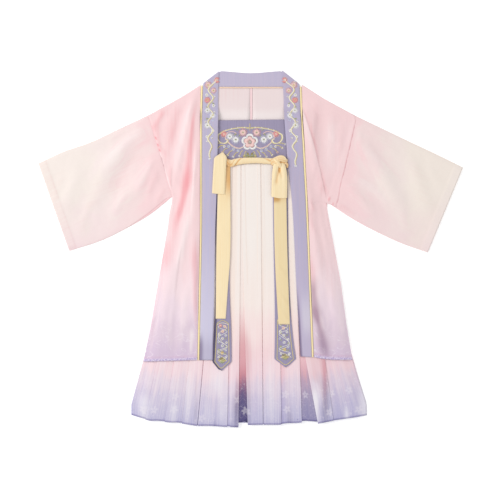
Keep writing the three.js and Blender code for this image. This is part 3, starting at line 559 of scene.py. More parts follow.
ROBE_RIGHT_CREASES = [
    (136, 356, 150, 250, 3, 9, 0.8, 0, -0.2),
    (196, 290, 204, 190, 3, 12, 0.9, 0, -0.15),
    (137, 120, 163, 30, 2, 9, 1.4, 0, 0.25),
    (146, 130, 160, 88, 0, 6, 1.5, 0, 0.3),
    (176, 120, 196, -20, 3, 12, 1.5, 0, -0.15),
    (158, -80, 184, -238, 3, 12, 2.2, 0, -0.35),
    (150, -20, 166, -180, 0, 7, 1.1, 0, 0.35),
    (160, -196, 175, -268, 2, 7, 1.5, 0, 0.25),
    (196, -40, 222, -230, 3, 13, 1.8, 0, 0.1),
    (218, -90, 238, -250, 2, 9, 1.2, 0, -0.15),
    (160, 372, 176, 290, 2, 12, 1.3, 0, 0.2),
    (200, 348, 206, 262, 4, 13, 1.1, 0, -0.2),
    (232, 318, 226, 240, 3, 9, 0.9, 0, 0.2),
    (193, 117, 200, 131, 0, 3, 0.9, 0, 0.55),
    (201, 103, 208, 117, 0, 3, 0.9, 0, 0.6),
]
SLEEVE_LEFT_CREASES = [
    (-262, 306, -378, 190, 6, 17, 3.4, 0, -0.5),
    (-256, 280, -360, 110, 7, 19, -1.6, 0, 0.2),
    (-236, 232, -286, 134, 5, 12, 2.4, 0, -0.3),
    (-226, 196, -258, 128, 4, 9, 1.6, 0, 0.15),
    (-206, 152, -238, 112, 3, 8, 1.2, 0, 0.2),
    (-352, 186, -402, 92, 5, 24, 2.2, 0, 0.1),
    (-300, 150, -352, 66, 5, 12, 1.6, 0, -0.2),
    (-420, 210, -470, 96, 5, 17, 1.3, 0, -0.15),
    (-394, 128, -426, 30, 4, 12, 1.2, 0, 0.12),
    (-466, 190, -494, 100, 3, 12, 0.8, 0, 0.08),
    (-300, 300, -366, 262, 2, 9, 0.8, 0, 0.12),
]
SLEEVE_RIGHT_CREASES = [
    (266, 282, 392, 92, -8, 17, 2.0, 0, -0.3),
    (306, 214, 356, 112, -4, 13, 1.1, 0, 0.15),
    (250, 190, 350, 104, -5, 12, 1.8, 0, -0.35),
    (232, 166, 300, 92, -4, 9, 1.2, 0, 0.05),
    (214, 112, 262, 84, -2, 5, 0.9, 0, 0.3),
    (392, 236, 440, 96, -5, 20, 1.8, 0, 0.1),
    (436, 220, 482, 120, -4, 14, 1.0, 0, -0.1),
    (352, 150, 392, 40, -4, 14, 1.3, 0, 0.12),
    (272, 306, 280, 250, 3, 8, 0.8, 0, 0.05),
    (300, 290, 372, 230, -3, 11, 0.8, 0, 0.1),
]


STEEP_FLANK = 0.22  # a steep flank's width, as a share of a soft one's


def press(points, creases):
    """What a list of creases adds to each point of a grid: its height, and its tint of painted shade or
    highlight.
    """
    lift = np.zeros(points.shape[:2])
    tint = np.zeros(points.shape[:2])
    for x0, y0, x1, y1, bend, width, height, steep, colour in creases:
        run = np.array([x1 - x0, y1 - y0], float)
        length = np.hypot(*run)
        run /= length
        offset = points[..., :2] - (x0, y0)
        along = (offset @ run) / length
        aside = offset[..., 0] * run[1] - offset[..., 1] * run[0]
        aside = aside - bend * 4 * np.clip(along, 0, 1) * (1 - np.clip(along, 0, 1))
        flank = np.where(aside * steep > 0, STEEP_FLANK, 1.0) if steep else 1.0
        wander = 1 + 0.25 * np.sin(7 * along + x0)
        shape = np.exp(-((aside / (width * flank * wander)) ** 2))
        shape = shape * ease(-0.1, 0.3, along) * ease(1.12, 0.68, along)
        lift += height * shape
        tint += colour * shape
    return lift, tint


def ripple(points, size, height, seed):
    """A low unevenness of the whole cloth."""
    flat = points.reshape(-1, points.shape[-1])
    values = [noise.noise(Vector((x / size, y / size, seed))) for x, y in flat[:, :2]]
    return height * (np.array(values).reshape(points.shape[:2]) + 0.5)


print("creases on the fronts:", len(ROBE_LEFT_CREASES), "and", len(ROBE_RIGHT_CREASES))
print("creases on the sleeves:", len(SLEEVE_LEFT_CREASES), "and", len(SLEEVE_RIGHT_CREASES))

# %% [markdown]
# ## From grid to cloth
# A grid of points becomes a sheet of quads with a map in metres, a tint at every point and a real
# thickness, which Solidify gives below the face. The sheet is then hung on the garment's root, the
# frame's panel is hidden, and the flat size that it was cut to, measured on the grid itself, is printed.

# %% From grid to cloth
def freeze(piece):
    """Keeps a piece's modifiers as plain mesh."""
    graph = bpy.context.evaluated_depsgraph_get()
    baked = bpy.data.meshes.new_from_object(piece.evaluated_get(graph))
    piece.modifiers.clear()
    old = piece.data
    piece.data = baked
    bpy.data.meshes.remove(old)
    baked.name = piece.name


def mesh_piece(name, points, faces, uv, material, marks):
    """An object from points and a map in millimetres, with named numbers for its shader."""
    mesh = bpy.data.meshes.new(name)
    mesh.from_pydata((points * MM).tolist(), [], faces)
    for mark, values in marks.items():
        mesh.attributes.new(mark, "FLOAT", "POINT").data.foreach_set("value", values.astype(np.float32))
    layer = mesh.uv_layers.new(name="cloth")
    corner = np.empty(len(mesh.loops), np.int32)
    mesh.loops.foreach_get("vertex_index", corner)
    layer.data.foreach_set("uv", (uv[corner] * MM).astype(np.float32).reshape(-1))
    mesh.materials.append(material)
    piece = bpy.data.objects.new(name, mesh)
    scene.collection.objects.link(piece)
    return piece


def lay(name, points, uv, marks, material, thickness, ring=False):
    """A sheet of cloth from a grid of its upper points, in millimetres."""
    rows, columns = points.shape[:2]
    last = columns if ring else columns - 1
    index = np.arange(rows * columns).reshape(rows, columns)
    quads = []
    for c in range(last):
        d = (c + 1) % columns
        quads.append(np.stack([index[:-1, c], index[1:, c], index[1:, d], index[:-1, d]], axis=1))
    marks = marks if isinstance(marks, dict) else {"tint": marks}
    flat_marks = {mark: values.reshape(-1) for mark, values in marks.items()}
    faces = np.concatenate(quads).tolist()
    piece = mesh_piece(name, points.reshape(-1, 3), faces, uv.reshape(-1, 2), material, flat_marks)
    solid = piece.modifiers.new("thickness", "SOLIDIFY")
    solid.thickness = thickness * MM
    solid.offset = -1.0
    freeze(piece)
    piece.data.shade_smooth()
    return piece


def turned_up(points, *others, seen=None):
    """The grids with their columns turned round, where the face that is seen would look down."""
    seen = points if seen is None else seen
    u = seen[:-1, 1:, :2] - seen[:-1, :-1, :2]
    v = seen[1:, :-1, :2] - seen[:-1, :-1, :2]
    looks_up = (v[..., 0] * u[..., 1] - v[..., 1] * u[..., 0]).sum() > 0
    return [grid if looks_up else grid[:, ::-1] for grid in (points, *others)]


def grid_area(points, ring):
    """Width, length and area of a grid in metres, measured along the cloth."""
    closed = np.concatenate([points, points[:, :1]], axis=1) if ring else points
    across = np.linalg.norm(np.diff(closed, axis=1), axis=2).sum(axis=1).max() * MM
    down = np.linalg.norm(np.diff(closed, axis=0), axis=2).sum(axis=0).max() * MM
    u = np.diff(closed, axis=1)[:-1]
    v = np.diff(closed, axis=0)[:, :-1]
    area = np.linalg.norm(np.cross(u, v), axis=2).sum() * MM * MM
    return across, down, area


def declare(piece, nodes, points, ring=False):
    """Hangs a sheet of cloth on the root, hides the frame's panels that it stands for, and prints the size
    it was cut to.
    """
    across, down, area = grid_area(points, ring)
    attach(piece, "root")
    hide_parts(*nodes)
    area = min(area, across * down)
    print(f"{piece.name}: cut {across:.3f} by {down:.3f} m, area {area:.4f}")


def shares_with_edges(count, edge):
    """Even shares from 0 to 1, with a few more close to both ends."""
    even = np.linspace(0, 1, count)
    close = [edge * 0.3, edge, 1 - edge, 1 - edge * 0.3] if edge else []
    return np.unique(np.concatenate([even, close]))


CUT_IN = 0.05  # the first and last cuts lie this far inside the wall's ends


def panel_grid(wall, rows, columns, edge=0.0, upright=False):
    """A grid over a panel and its map. Its rows run straight across, or its columns straight down."""
    low, high = wall.low + CUT_IN, wall.high - CUT_IN
    grid = []
    if upright:
        for x in low[0] + (high[0] - low[0]) * shares_with_edges(columns, edge):
            bottom, top = wall.cut((x, 0.0), (0.0, 1.0))
            grid.append([(x, top + (bottom - top) * v, 0.0) for v in np.linspace(0, 1, rows)])
        grid = np.array(grid).swapaxes(0, 1)
    else:
        for y in np.linspace(high[1], low[1], rows):
            left, right = wall.cut((0.0, y), (1.0, 0.0))
            grid.append([(left + (right - left) * u, y, 0.0) for u in shares_with_edges(columns, edge)])
        grid = np.array(grid)
    grid[..., 2] = wall.heights(grid[..., :2])
    uv = np.stack([grid[..., 0], grid[..., 1] - low[1]], axis=2)
    return grid, uv


# %% [markdown]
# ## The robe's fronts and backs
# The fronts fall from the collar and spread over the skirt. The back lies on the table, and only its
# inside shows in the neck. Both are grids over their walls. The front's is smoothed, since the wall is
# faceted, and then takes its creases. A narrow rolled hem stands at its foot, and the seam to the
# sleeve pulls small puckers.

# %% The front's grid and its hem
ROBE_THICKNESS = 0.6
FRONT_ROWS = 190
HEM_ROLL = 7.5  # width of the rolled hem
EDGE = 0.004  # share of the width where the columns close up, so that an edge turns sharply
# How far the hem stands above the frame's straight hem, at places across the robe.
HEM_LIFT = [(-270, -4.5), (-127, 0), (80, 0), (126, 9), (157, 7), (175, 3.5), (201, 0.8), (253, 0)]
# The right armhole seam as it really lies, down and across: the front laps over the sleeve to it.
ARMHOLE_RIGHT = [(332, 260), (322, 263.6), (300, 259), (259, 249.5), (200, 236), (138, 221), (116, 212)]
SLEEVE_SLOPE = 0.64  # the sleeve's lower edge falls this much for each step outwards
# Where the right front sinks beside its piping and lies in shadow. The rows are creases too.
SHADOW_RIGHT = [(153, -70, 162, -190, 0, 11, 0.0, 0, 0.85), (160, -150, 192, -285, 0, 10, 0.0, 0, 0.8)]
# The sharp fold down the right front: its line, down and across.
STEP_RIGHT = [(350, 129), (259, 157.5), (209, 169.5), (121, 189)]


def slant_hem(points):
    """Lowers or lifts the lower robe so that its hem slants."""
    lift = read_table(HEM_LIFT, 1, points[..., 0])
    points[..., 1] += lift * ease(-60, -270, points[..., 1])


def front_grid(side):
    """The front's grid over its wall. The right one goes on over the sleeve to the true seam."""
    wall = WALLS[f"robe_front_{side}"]
    if side == "left":
        return panel_grid(wall, FRONT_ROWS, 48, EDGE)
    grid = []
    sleeve_wall = WALLS["sleeve_right"]
    low, high = wall.low + CUT_IN, wall.high - CUT_IN
    for y in np.linspace(high[1], low[1], FRONT_ROWS):
        left, right = wall.cut((0.0, y), (1.0, 0.0))
        body_edge = right
        if 116 <= y <= 331:
            right = max(right, read_table(ARMHOLE_RIGHT, 1, y))
        x = left + (right - left) * shares_with_edges(66, EDGE)
        over = np.maximum(0, x - body_edge)
        grid.append(np.stack([x, y - over * SLEEVE_SLOPE * ease(165, 118, y), 0 * x], axis=1))
    grid = np.array(grid)
    z = wall.heights(grid[..., :2])
    for r, c in np.ndindex(z.shape):
        if grid[r, c, 0] > 185 and grid[r, c, 1] > 100:
            below = sleeve_wall.height(grid[r, c, 0], grid[r, c, 1])
            if not np.isnan(below):
                z[r, c] = max(z[r, c] if grid[r, c, 0] < 190 else 0.0, below + 1.0)
    grid[..., 2] = z
    return grid, np.stack([grid[..., 0], grid[..., 1] - low[1]], axis=2)


# %% [markdown]
# On the right front a sharp fold runs down beside the seam, and its lower inner part lies in shadow.

# %% The fronts
SEAM_SPOTS = {"left": (276, 259, 246), "right": ()}  # small gathers beside the armhole, by height


def robe_front(side, creases, seed):
    """One front: its creases, the puckers along the armhole and the rolled hem."""
    points, uv = front_grid(side)
    points[..., 2] = smooth_grid(points[..., 2], 14)
    lift, tint = press(points, creases)
    shadow = press(points, SHADOW_RIGHT if side == "right" else [])[1]
    lift = lift + ripple(points, 38, 0.7, seed) + ripple(points, 11, 0.25, seed + 5)
    x, y = points[..., 0], points[..., 1]
    from_hem = uv[..., 1]
    outer = x[:, :1] if side == "left" else x[:, -1:]
    across = np.abs(x - outer)
    seam_part = ease(104, 112, y)
    near_seam = ease(6, 1.5, across) * seam_part
    pucker = near_seam * (0.5 + 0.5 * np.sin(y / 3.1 + np.sin(y / 17) * 2))
    waver = 1 + 0.3 * np.sin(x / 5.1) + 0.25 * np.sin(x / 2.3 + 1)
    roll = np.exp(-(((from_hem - HEM_ROLL / 2) / (HEM_ROLL / 2.2)) ** 4))
    fade = ease(0.0, 6.0, np.minimum(across, np.abs(x - x[:, -1:])))
    fade = fade * (1 - 0.8 * seam_part * ease(28, 8, across) * (side == "right"))
    points[..., 2] += lift * (0.25 + 0.75 * fade) + 1.0 * roll * waver + 0.35 * pucker
    points[..., 2] -= 1.0 * ease(2.4, 0.3, across) * seam_part
    if side == "right":
        aside = x - read_table(STEP_RIGHT, 1, y)
        length = ease(112, 150, y) * ease(362, 330, y)
        points[..., 2] += 1.5 * length * ease(-30, -1, aside) * ease(1.6, 0.4, aside)
        low_enough = ease(330, 300, y)
        # Painted light and shade on the right front: the fold's inner part paler high up and deeper low
        # down, shade just right of its line, the seam deeper low down and a paler band beside the armhole.
        tint = tint + 0.3 * near_seam * low_enough
        tint = tint - 0.24 * ease(100, 60, across) * ease(1, 4, across) * low_enough * ease(150, 220, y)
        inner = length * ease(-24, -3, aside) * ease(0.6, -1.0, aside)
        tint = tint + inner * (0.3 * ease(230, 170, y) - 0.3 * ease(190, 260, y))
        tint = tint + 0.45 * length * ease(-0.8, 1.2, aside) * ease(15, 2.5, aside)
    tint = tint + 0.12 * near_seam + 0.15 * pucker * near_seam
    for spot in SEAM_SPOTS[side]:
        tint = tint + 1.0 * np.exp(-(((across - 3.0) / 2.0) ** 2) - ((y - spot) / 3.4) ** 2)
    # Painted light: a pale line along the left armhole seam, against the shade at the front's edge.
    tint = tint - 0.8 * ease(4.5, 2, across) * ease(140, 160, y) * ease(246, 236, y) * (side == "left")
    tint = tint + 0.16 * np.exp(-(((y + 30) / 48) ** 2))
    tint = tint + 0.35 * ease(9, 0.5, from_hem - HEM_ROLL) * ease(-3, 0.5, from_hem - HEM_ROLL)
    slant_hem(points)
    points, uv, tint, roll, shadow = turned_up(points, uv, tint, roll, shadow)
    marks = {"tint": tint, "rolled": roll, "shadow": np.clip(shadow, 0, 1)}
    piece = lay(f"cloth_robe_front_{side}", points, uv, marks, ROBE, ROBE_THICKNESS)
    declare(piece, [f"robe_front_{side}"], points)
    return piece


# %% [markdown]
# The back is one grid on each side of the centre seam, whose turned edges show as a narrow strip.

# %% The backs and the centre seam
def robe_back(side, seed):
    """One half of the back, seen from inside between the fronts."""
    wall = WALLS[f"robe_back_{side}"]
    points, uv = panel_grid(wall, 70, 22)
    inside_neck = ease(330, 350, points[..., 1])
    tint = 0.25 * ripple(points, 60, 1.0, seed) - 0.1 - 1.0 * ease(362, 330, points[..., 1])
    points[..., 2] += ripple(points, 45, 0.25, seed) * inside_neck
    slant_hem(points)
    points, uv, tint = turned_up(points, uv, tint)
    piece = lay(f"cloth_robe_back_{side}", points, uv, tint, ROBE_INSIDE, 1.0)
    declare(piece, [f"robe_back_{side}"], points)
    return piece


SEAM_X = 1.5
SEAM_WIDTH = 5.5
SEAM_TOP, SEAM_FOOT = 402, -268


def centre_seam():
    """The turned edges of the seam between the two backs: a narrow strip inside."""
    points = []
    for y in np.linspace(SEAM_TOP, SEAM_FOOT, 140):
        raised = 1.32 + 0.35 * float(ease(322, 336, y))
        sides = np.linspace(-0.5, 0.5, 6)
        points.append([(SEAM_X + SEAM_WIDTH * u, y, raised - 0.24 * abs(u)) for u in sides])
    points = np.array(points)
    tint = np.zeros(points.shape[:2])
    tint[:, (0, -1)] = 0.5
    points = turned_up(points)[0]
    piece = lay("cloth_centre_seam", points, points[..., :2].copy(), tint, SEAM, 0.25)
    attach(piece, "root")
    return piece


PIECES = {"centre_seam": centre_seam()}
for side, creases, seed in (("left", ROBE_LEFT_CREASES, 2.0), ("right", ROBE_RIGHT_CREASES, 7.0)):
    PIECES[f"front_{side}"] = robe_front(side, creases, seed)
    PIECES[f"back_{side}"] = robe_back(side, seed + 30)

# %% [markdown]
# ## The sleeves
# A sleeve is one piece folded along its top, so it is a flattened tube. Its stations run from the
# armhole to the cuff, and each is a ring: across the upper layer, round the underarm seam and back
# along the table. The cuff has a turned hem, which is double, so it stands a little higher.

# %% The sleeves
CUFF_HEM = 20.0
SLEEVE_ENDS = {
    "left": {"hole": ((-257, 332), (-196, 130)), "cuff": ((-531, 212), (-454, -6)), "peek": 7.0},
    "right": {"hole": ((260, 332), (190.5, 116)), "cuff": ((531, 202), (443, -10)), "peek": 0.0},
}
STATIONS = 92
UPPER_SHARES = shares_with_edges(64, EDGE)  # places across the upper layer, from the fold to the seam
UNDER_COLUMNS = 20
PLACES = np.linspace(0.003, 0.997, STATIONS)  # the stations, just inside both ends


def sleeve_lines(side):
    """Where each station meets the top fold and the underarm seam, and its middle."""
    hole, cuff = (np.array(SLEEVE_ENDS[side][key], float) for key in ("hole", "cuff"))
    tops, unders, middles = [], [], []
    for share in PLACES:
        line = hole * (1 - share) + cuff * share
        run = (line[1] - line[0]) / np.hypot(*(line[1] - line[0]))
        near, far = WALLS[f"sleeve_{side}"].cut(line[0], run)
        tops.append(line[0] + run * near)
        unders.append(line[0] + run * far)
        middles.append(line.mean(axis=0))
    return np.array(tops), np.array(unders), np.array(middles)


# %% [markdown]
# The upper layer takes its height from the wall and is pressed with the sleeve's creases. The first two
# stations reach under the robe's front, where the sleeve is set in, and the seam there puckers a little.

# %% The upper layer
TUCK = ((5.0, 1.0), (3.4, 0.4))  # how far the first two stations reach under the front, and how deep
FOLD_HEIGHT = 1.4  # at least this much at the top fold and the underarm seam


def sleeve_upper(side, tops, unders, ends, length, creases, seed):
    """The upper layer of a sleeve and its tint."""
    span = UPPER_SHARES[None, :, None]
    flat = tops[:, None] * (1 - span) + ends[:, None] * span
    grid = np.concatenate([flat, np.zeros((*flat.shape[:2], 1))], axis=2)
    grid[..., 2] = smooth_grid(WALLS[f"sleeve_{side}"].heights(grid[..., :2]), 12)
    lift, tint = press(grid, creases)
    lift = lift + ripple(grid, 45, 0.8, seed) + ripple(grid, 13, 0.25, seed + 3)
    all_across = np.ones((1, len(UPPER_SHARES)))
    from_cuff = (length[-1] - length)[:, None] * all_across
    from_fold = np.minimum(span[..., 0], 1 - span[..., 0]) * np.hypot(*(tops - unders).T)[:, None]
    hem = ease(CUFF_HEM + 1.5, CUFF_HEM - 1.5, from_cuff)
    near_hole = ease(7, 2, length)[:, None] * all_across
    pucker = near_hole * (0.5 + 0.5 * np.sin(span[..., 0] * 64 + seed))
    calm = 1 - 0.75 * ease(30, 4, length)[:, None]
    grid[..., 2] += (lift * calm + 0.8 * hem + 0.3 * pucker) * ease(0, 9, from_fold)
    hem_line = np.exp(-(((from_cuff - CUFF_HEM) / 1.6) ** 2))
    # Painted shade on the left cuff's hem band, against the lamp at the left; the right one is paler.
    tint = tint + (0.14 if side == "left" else -0.3) * hem + 0.14 * hem_line
    tint = tint + 0.12 * near_hole + 0.1 * pucker + 0.12 * ease(12, 0, from_fold)
    hole, cuff = (np.array(SLEEVE_ENDS[side][key], float) for key in ("hole", "cuff"))
    run_out = (cuff - hole).mean(axis=0)
    run_out /= np.hypot(*run_out)
    for station, (reach, drop) in enumerate(TUCK):
        grid[station, :, :2] -= run_out * reach
        grid[station, :, 2] -= drop
    grid[:, (0, -1), 2] = np.maximum(grid[:, (0, -1), 2], FOLD_HEIGHT)
    return grid, tint


# %% [markdown]
# The other columns of the ring close the tube: a narrow strip of the lower layer that peeks out at the
# underarm seam, the seam's side, the layer on the table and the side of the top fold.

# %% The whole sleeve
PEEK_STRIP = ((0.9, 1.28), (0.84, 1.28), (0.5, 1.24), (0.12, 1.16))  # share of the peek, and height
SIDE_HEIGHT = 0.65
BULGE = 0.32  # how far the folded edges stand past the flat layers
ENDS_IN = 0.8  # how far the layer on the table stays inside them


def raised(plan, height):
    """One column of a ring: its places seen from above, at a height."""
    return np.concatenate([plan, np.zeros((STATIONS, 1)) + height], axis=1)[:, None]


def sleeve(side, creases, seed):
    """One sleeve, as a flattened tube."""
    tops, unders, middles = sleeve_lines(side)
    outward = (unders - tops) / np.hypot(*(unders - tops).T)[:, None]
    peek = (0.3 + SLEEVE_ENDS[side]["peek"] * ease(0.55, 0.12, PLACES) * ease(0.0, 0.06, PLACES))[:, None]
    length = np.cumsum(np.hypot(*np.diff(middles, axis=0, prepend=middles[:1]).T))
    grid, tint = sleeve_upper(side, tops, unders, unders - outward * peek, length, creases, seed)
    back = np.linspace(1, 0, UNDER_COLUMNS)[None, :, None]
    under = tops[:, None] * (1 - back) + unders[:, None] * back
    under = np.concatenate([under, np.zeros((STATIONS, UNDER_COLUMNS, 1))], axis=2)
    under[:, 0, :2] -= outward * ENDS_IN
    under[:, -1, :2] += outward * ENDS_IN
    strip = [raised(unders - outward * peek * share, height) for share, height in PEEK_STRIP]
    seam_side = raised(unders + outward * BULGE, SIDE_HEIGHT + 0.08 * peek)
    fold_side = raised(tops - outward * BULGE, SIDE_HEIGHT)
    ring = np.concatenate([grid, *strip, seam_side, under, fold_side], axis=1)
    hidden = np.full((STATIONS, ring.shape[1] - grid.shape[1]), 0.32)
    ring_tint = np.concatenate([tint, hidden], axis=1)
    around = np.linalg.norm(np.diff(ring, axis=1, prepend=ring[:, :1]), axis=2).cumsum(axis=1)
    uv = np.stack([around, length[:, None] * np.ones((1, ring.shape[1]))], axis=2)
    ring, uv, ring_tint = turned_up(ring, uv, ring_tint, seen=grid)
    piece = lay(f"cloth_sleeve_{side}", ring, uv, ring_tint, ROBE, 0.5, ring=True)
    declare(piece, [f"sleeve_{side}"], ring, ring=True)
    return piece


PIECES["sleeve_left"] = sleeve("left", SLEEVE_LEFT_CREASES, 11.0)
PIECES["sleeve_right"] = sleeve("right", SLEEVE_RIGHT_CREASES, 17.0)

# %% [markdown]
# ## The pleated skirt
# A pressed pleat is one strip of cloth that doubles back on itself: over, back under, and on again. The
# strip is drawn as a path across the skirt at one height, with three levels for the three layers of a
# fold, and repeated down to the hem, where the folds are wider apart. A round nose joins two levels.
# The table lists the pleats one by one, since they fan unevenly: where each edge lies at the band and
# at the hem, which side lies on top, how deep it tucks, and how long it stays shut.

# %% The pleated skirt
CLOTH = 1.0
REST_GAP = 0.4
BACK_PITCH = 1.35
FRONT_PITCH = (1.35, 1.9)  # between layers of a fold in the frame, at the band and below
THIN_PITCH = (0.35, 0.75)  # between layers of a fold in fine cloth, near the band and at the hem
SIDE_TAPER = 30
TAPER_LEAD = 7
TUCK_AT_BAND = 0.55
NOSE_NEAR = 0.9  # a point this close to a fold keeps the flat cloth beside it flat
BLOOM_DRIFT = 0.25
SKIRT_EDGE = [
    (321, -154, 154), (213, -156, 156), (150, -165, 163), (-4, -200, 184), (-129, -229, 219),
    (-278, -263, 251), (-340, -279, 268), (-418, -299, 291),
]
# Each pleat: edge at the band, edge at the hem, side on top, tuck at the hem, share that stays shut.
FRONT_PLEATS = [
    (-132, -262, "right", 12, 0.0), (-112, -214, "right", 13, 0.0), (-92, -171, "right", 13, 0.0),
    (-74, -134, "left", 14, 0.0), (-71, -131, "right", 12, 0.0), (-46, -59, "left", 12, 0.0),
    (-25, -31, "left", 14, 0.25), (-22, -7, "right", 14, 0.3), (24, 30, "left", 14, 0.0),
    (26.6, 32.6, "right", 13, 0.0), (66, 76, "left", 13, 0.0), (104, 127, "left", 12, 0.0),
    (107, 168, "right", 13, 0.58), (130, 206, "left", 13, 0.2),
]
# How far the front's hem stands above its lowest place, at places across it.
HEM_ARC = [
    (-299, 29), (-254, 17), (-172, 9.5), (-134, 3.5), (-109, 4), (-94, 3.5), (-64, 1.2), (-32, 0),
    (-9, 5.5), (21, 6.5), (73, 6.5), (100, 10), (126, 12), (168, 9), (203, 16), (250, 22.5), (290, 29),
]
# Soft folds of the skirt below the robe, as creases with a shadow (more than 0) or a light (less).
SKIRT_FOLDS = [
    (-136, -300, -138, -460, 0, 4, 0.0, 0, 0.3),
    (-80, -270, -84, -460, 0, 30, 0.6, 0, -0.55),
    (-152, -270, -160, -460, 0, 11, 0.4, 0, -0.4),
    (-33, -300, -35, -470, 0, 4, 0.0, 0, 0.6),
    (-7, -320, -4, -470, 0, 5, 0.0, 0, 0.35),
    (-14, -190, -6, -350, 0, 9, 0.0, 0, 0.4),
    (-87, -350, -90, -500, 0, 11, 0.0, 0, 0.5),
    (-40, -360, -40, -500, 0, 14, 0.0, 0, 0.35),
    (-264, -350, -268, -470, 0, 16, 0.3, 0, -0.6),
    (-190, -370, -194, -470, 0, 10, 0.3, 0, -0.5),
    (280, -300, 296, -470, 0, 18, 0.3, 0, -0.7),
    (236, -380, 240, -500, 0, 12, 0.3, 0, -0.7),
    (180, -240, 186, -380, 0, 14, 0.0, 0, 0.2),
    (158, -240, 162, -370, 0, 14, 0.0, 0, 0.25),
    (86, -385, 90, -470, 0, 10, 0.0, 0, 0.5),
    (46, -250, 50, -460, 0, 15, 0.4, 0, -0.4),
    (84, -300, 90, -470, 0, 9, -0.3, 0, 0.4),
    (158, -330, 164, -500, 0, 11, 0.3, 0, -0.95),
    (184, -230, 187, -460, 0, 9, -0.3, 0, 0.55),
]
BACK_PLEATS = [
    (-122 + 244 * k / 7, -238 + 470 * k / 7, "right" if k < 4 else "left", 11, 0.0) for k in range(8)
]
SKIRT_TOP = float(WALLS["skirt_front"].high[1])
SKIRT_FOOT = float(WALLS["skirt_front"].low[1])
ROBE_HEM = float(WALLS["robe_back_left"].low[1])


print("pleats:", len(FRONT_PLEATS), "in front and", len(BACK_PLEATS), "behind")

# %% [markdown]
# How high each panel lies: the back on the table or on the robe's hem, and the front on the back. The
# layers come together at the side seams, and where a pleat lies at one height follows from its row.

# %% How the skirt lies
def loft(x, y, lead=0.0):
    """How much of its full height a fold has near the side seams, from 0 to 1."""
    left = read_table(SKIRT_EDGE, 1, y)
    right = read_table(SKIRT_EDGE, 2, y)
    return ease(-lead, SIDE_TAPER - lead, np.minimum(x - left, right - x))


def skirt_rest(y):
    """What the back rests on: the table, or the robe under it."""
    return (CLOTH + REST_GAP) * ease(ROBE_HEM - 52, ROBE_HEM - 8, y)


def front_rest(x, y):
    """What the front rests on: the back's folds."""
    return skirt_rest(y) + CLOTH + REST_GAP + 2 * BACK_PITCH * loft(x, y, TAPER_LEAD)


def front_pitch(y):
    """The height of one layer in front, less where the band presses on it."""
    return FRONT_PITCH[1] + (FRONT_PITCH[0] - FRONT_PITCH[1]) * ease(SKIRT_TOP - 90, SKIRT_TOP, y)


def pleat_place(band, hem, shut, share):
    """Where a pleat's edge lies, a share of the way down: it hardly moves while it stays shut."""
    if share < shut:
        progress = BLOOM_DRIFT * share
    else:
        start = BLOOM_DRIFT * shut
        progress = start + (1 - start) * (share - shut) / (1 - shut)
    return band + (hem - band) * progress


def pleat_path(pleats, share, left, right, settles):
    """The strip across the skirt: rows of x, level and the way its nose bulges."""
    path = [(left + min(SIDE_TAPER, pleat_place(*pleats[0][:2], pleats[0][4], share) - left - 4) * t, 0, 0)
            for t in (0, 0.3, 0.62, 0.95)]
    for k, (band, hem, over, tuck, shut) in enumerate(pleats):
        x = pleat_place(band, hem, shut, share)
        tuck = tuck * (TUCK_AT_BAND + (1 - TUCK_AT_BAND) * share)
        if over == "left":
            path += [(x - tuck - 3, 2, 0), (x - NOSE_NEAR, 2, 0), (x, 2, 1), (x, 1, 0)]
            path += [(x - tuck, 1, -1), (x - tuck, 0, 0), (x + 1, 0, 0)]
        else:
            path += [(x - 1, 0, 0), (x + tuck, 0, 1), (x + tuck, 1, 0)]
            path += [(x, 1, -1), (x, 2, 0), (x + NOSE_NEAR, 2, 0), (x + tuck + 3, 2, 0)]
            if settles:
                further = pleats[k + 1] if k + 1 < len(pleats) else None
                limit = pleat_place(*further[:2], further[4], share) - 2 if further else right
                path.append((min(x + tuck + 16, limit), 0, 0))
    run = min(SIDE_TAPER, right - path[-1][0] - 2)
    path += [(right - run * t, 0, 0) for t in (0.95, 0.62, 0.3, 0)]
    return path


# %% [markdown]
# The path is divided finely, and repeated at every height to make the grid. The hem follows its arc, and
# the marks tell the shader which parts lie inside a fold or in shadow.

# %% The pleated panels
NOSE_STEPS = 4
BACK_ARC = 28  # how far the back's hem rises at its sides
HEIGHT_SHARES = np.concatenate([np.linspace(0, 0.76, 70), np.linspace(0.765, 1, 40)])
FLAT_STEP = 5.5  # between columns at the hem


def fine_path(path, steps):
    """The path with each flat run divided and each nose made round."""
    places = []
    for (x0, l0, nose), (x1, l1, _), count in zip(path, path[1:], steps):
        for k in range(count):
            t = k / count
            level = l0 + (l1 - l0) * t
            x = x0 + (x1 - x0) * t
            if nose:
                level = l0 + (l1 - l0) * (1 - cos(pi * t)) / 2
                x += nose * 0.62 * sin(pi * t)
            places.append((x, level))
    places.append(path[-1][:2])
    return places


def hem_heights(hem, hem_rise):
    """How high the hem stands at each place of the path. Inner layers stand a little higher in front."""
    x, level = hem.T
    if hem_rise:
        edge = np.where(x < 0, SKIRT_EDGE[-1][1], SKIRT_EDGE[-1][2])
        return SKIRT_FOOT + hem_rise + BACK_ARC * np.abs(x / edge) ** 2.4
    open_folds = (x > -50) & (x < 12) | (x > 110) & (x < 186)
    deep = np.where(open_folds, 11, 1.5) * np.where(x > 100, 0.45, 1)
    return SKIRT_FOOT + read_table(HEM_ARC, 1, x) + deep * np.clip(2 - level, 0, 1)


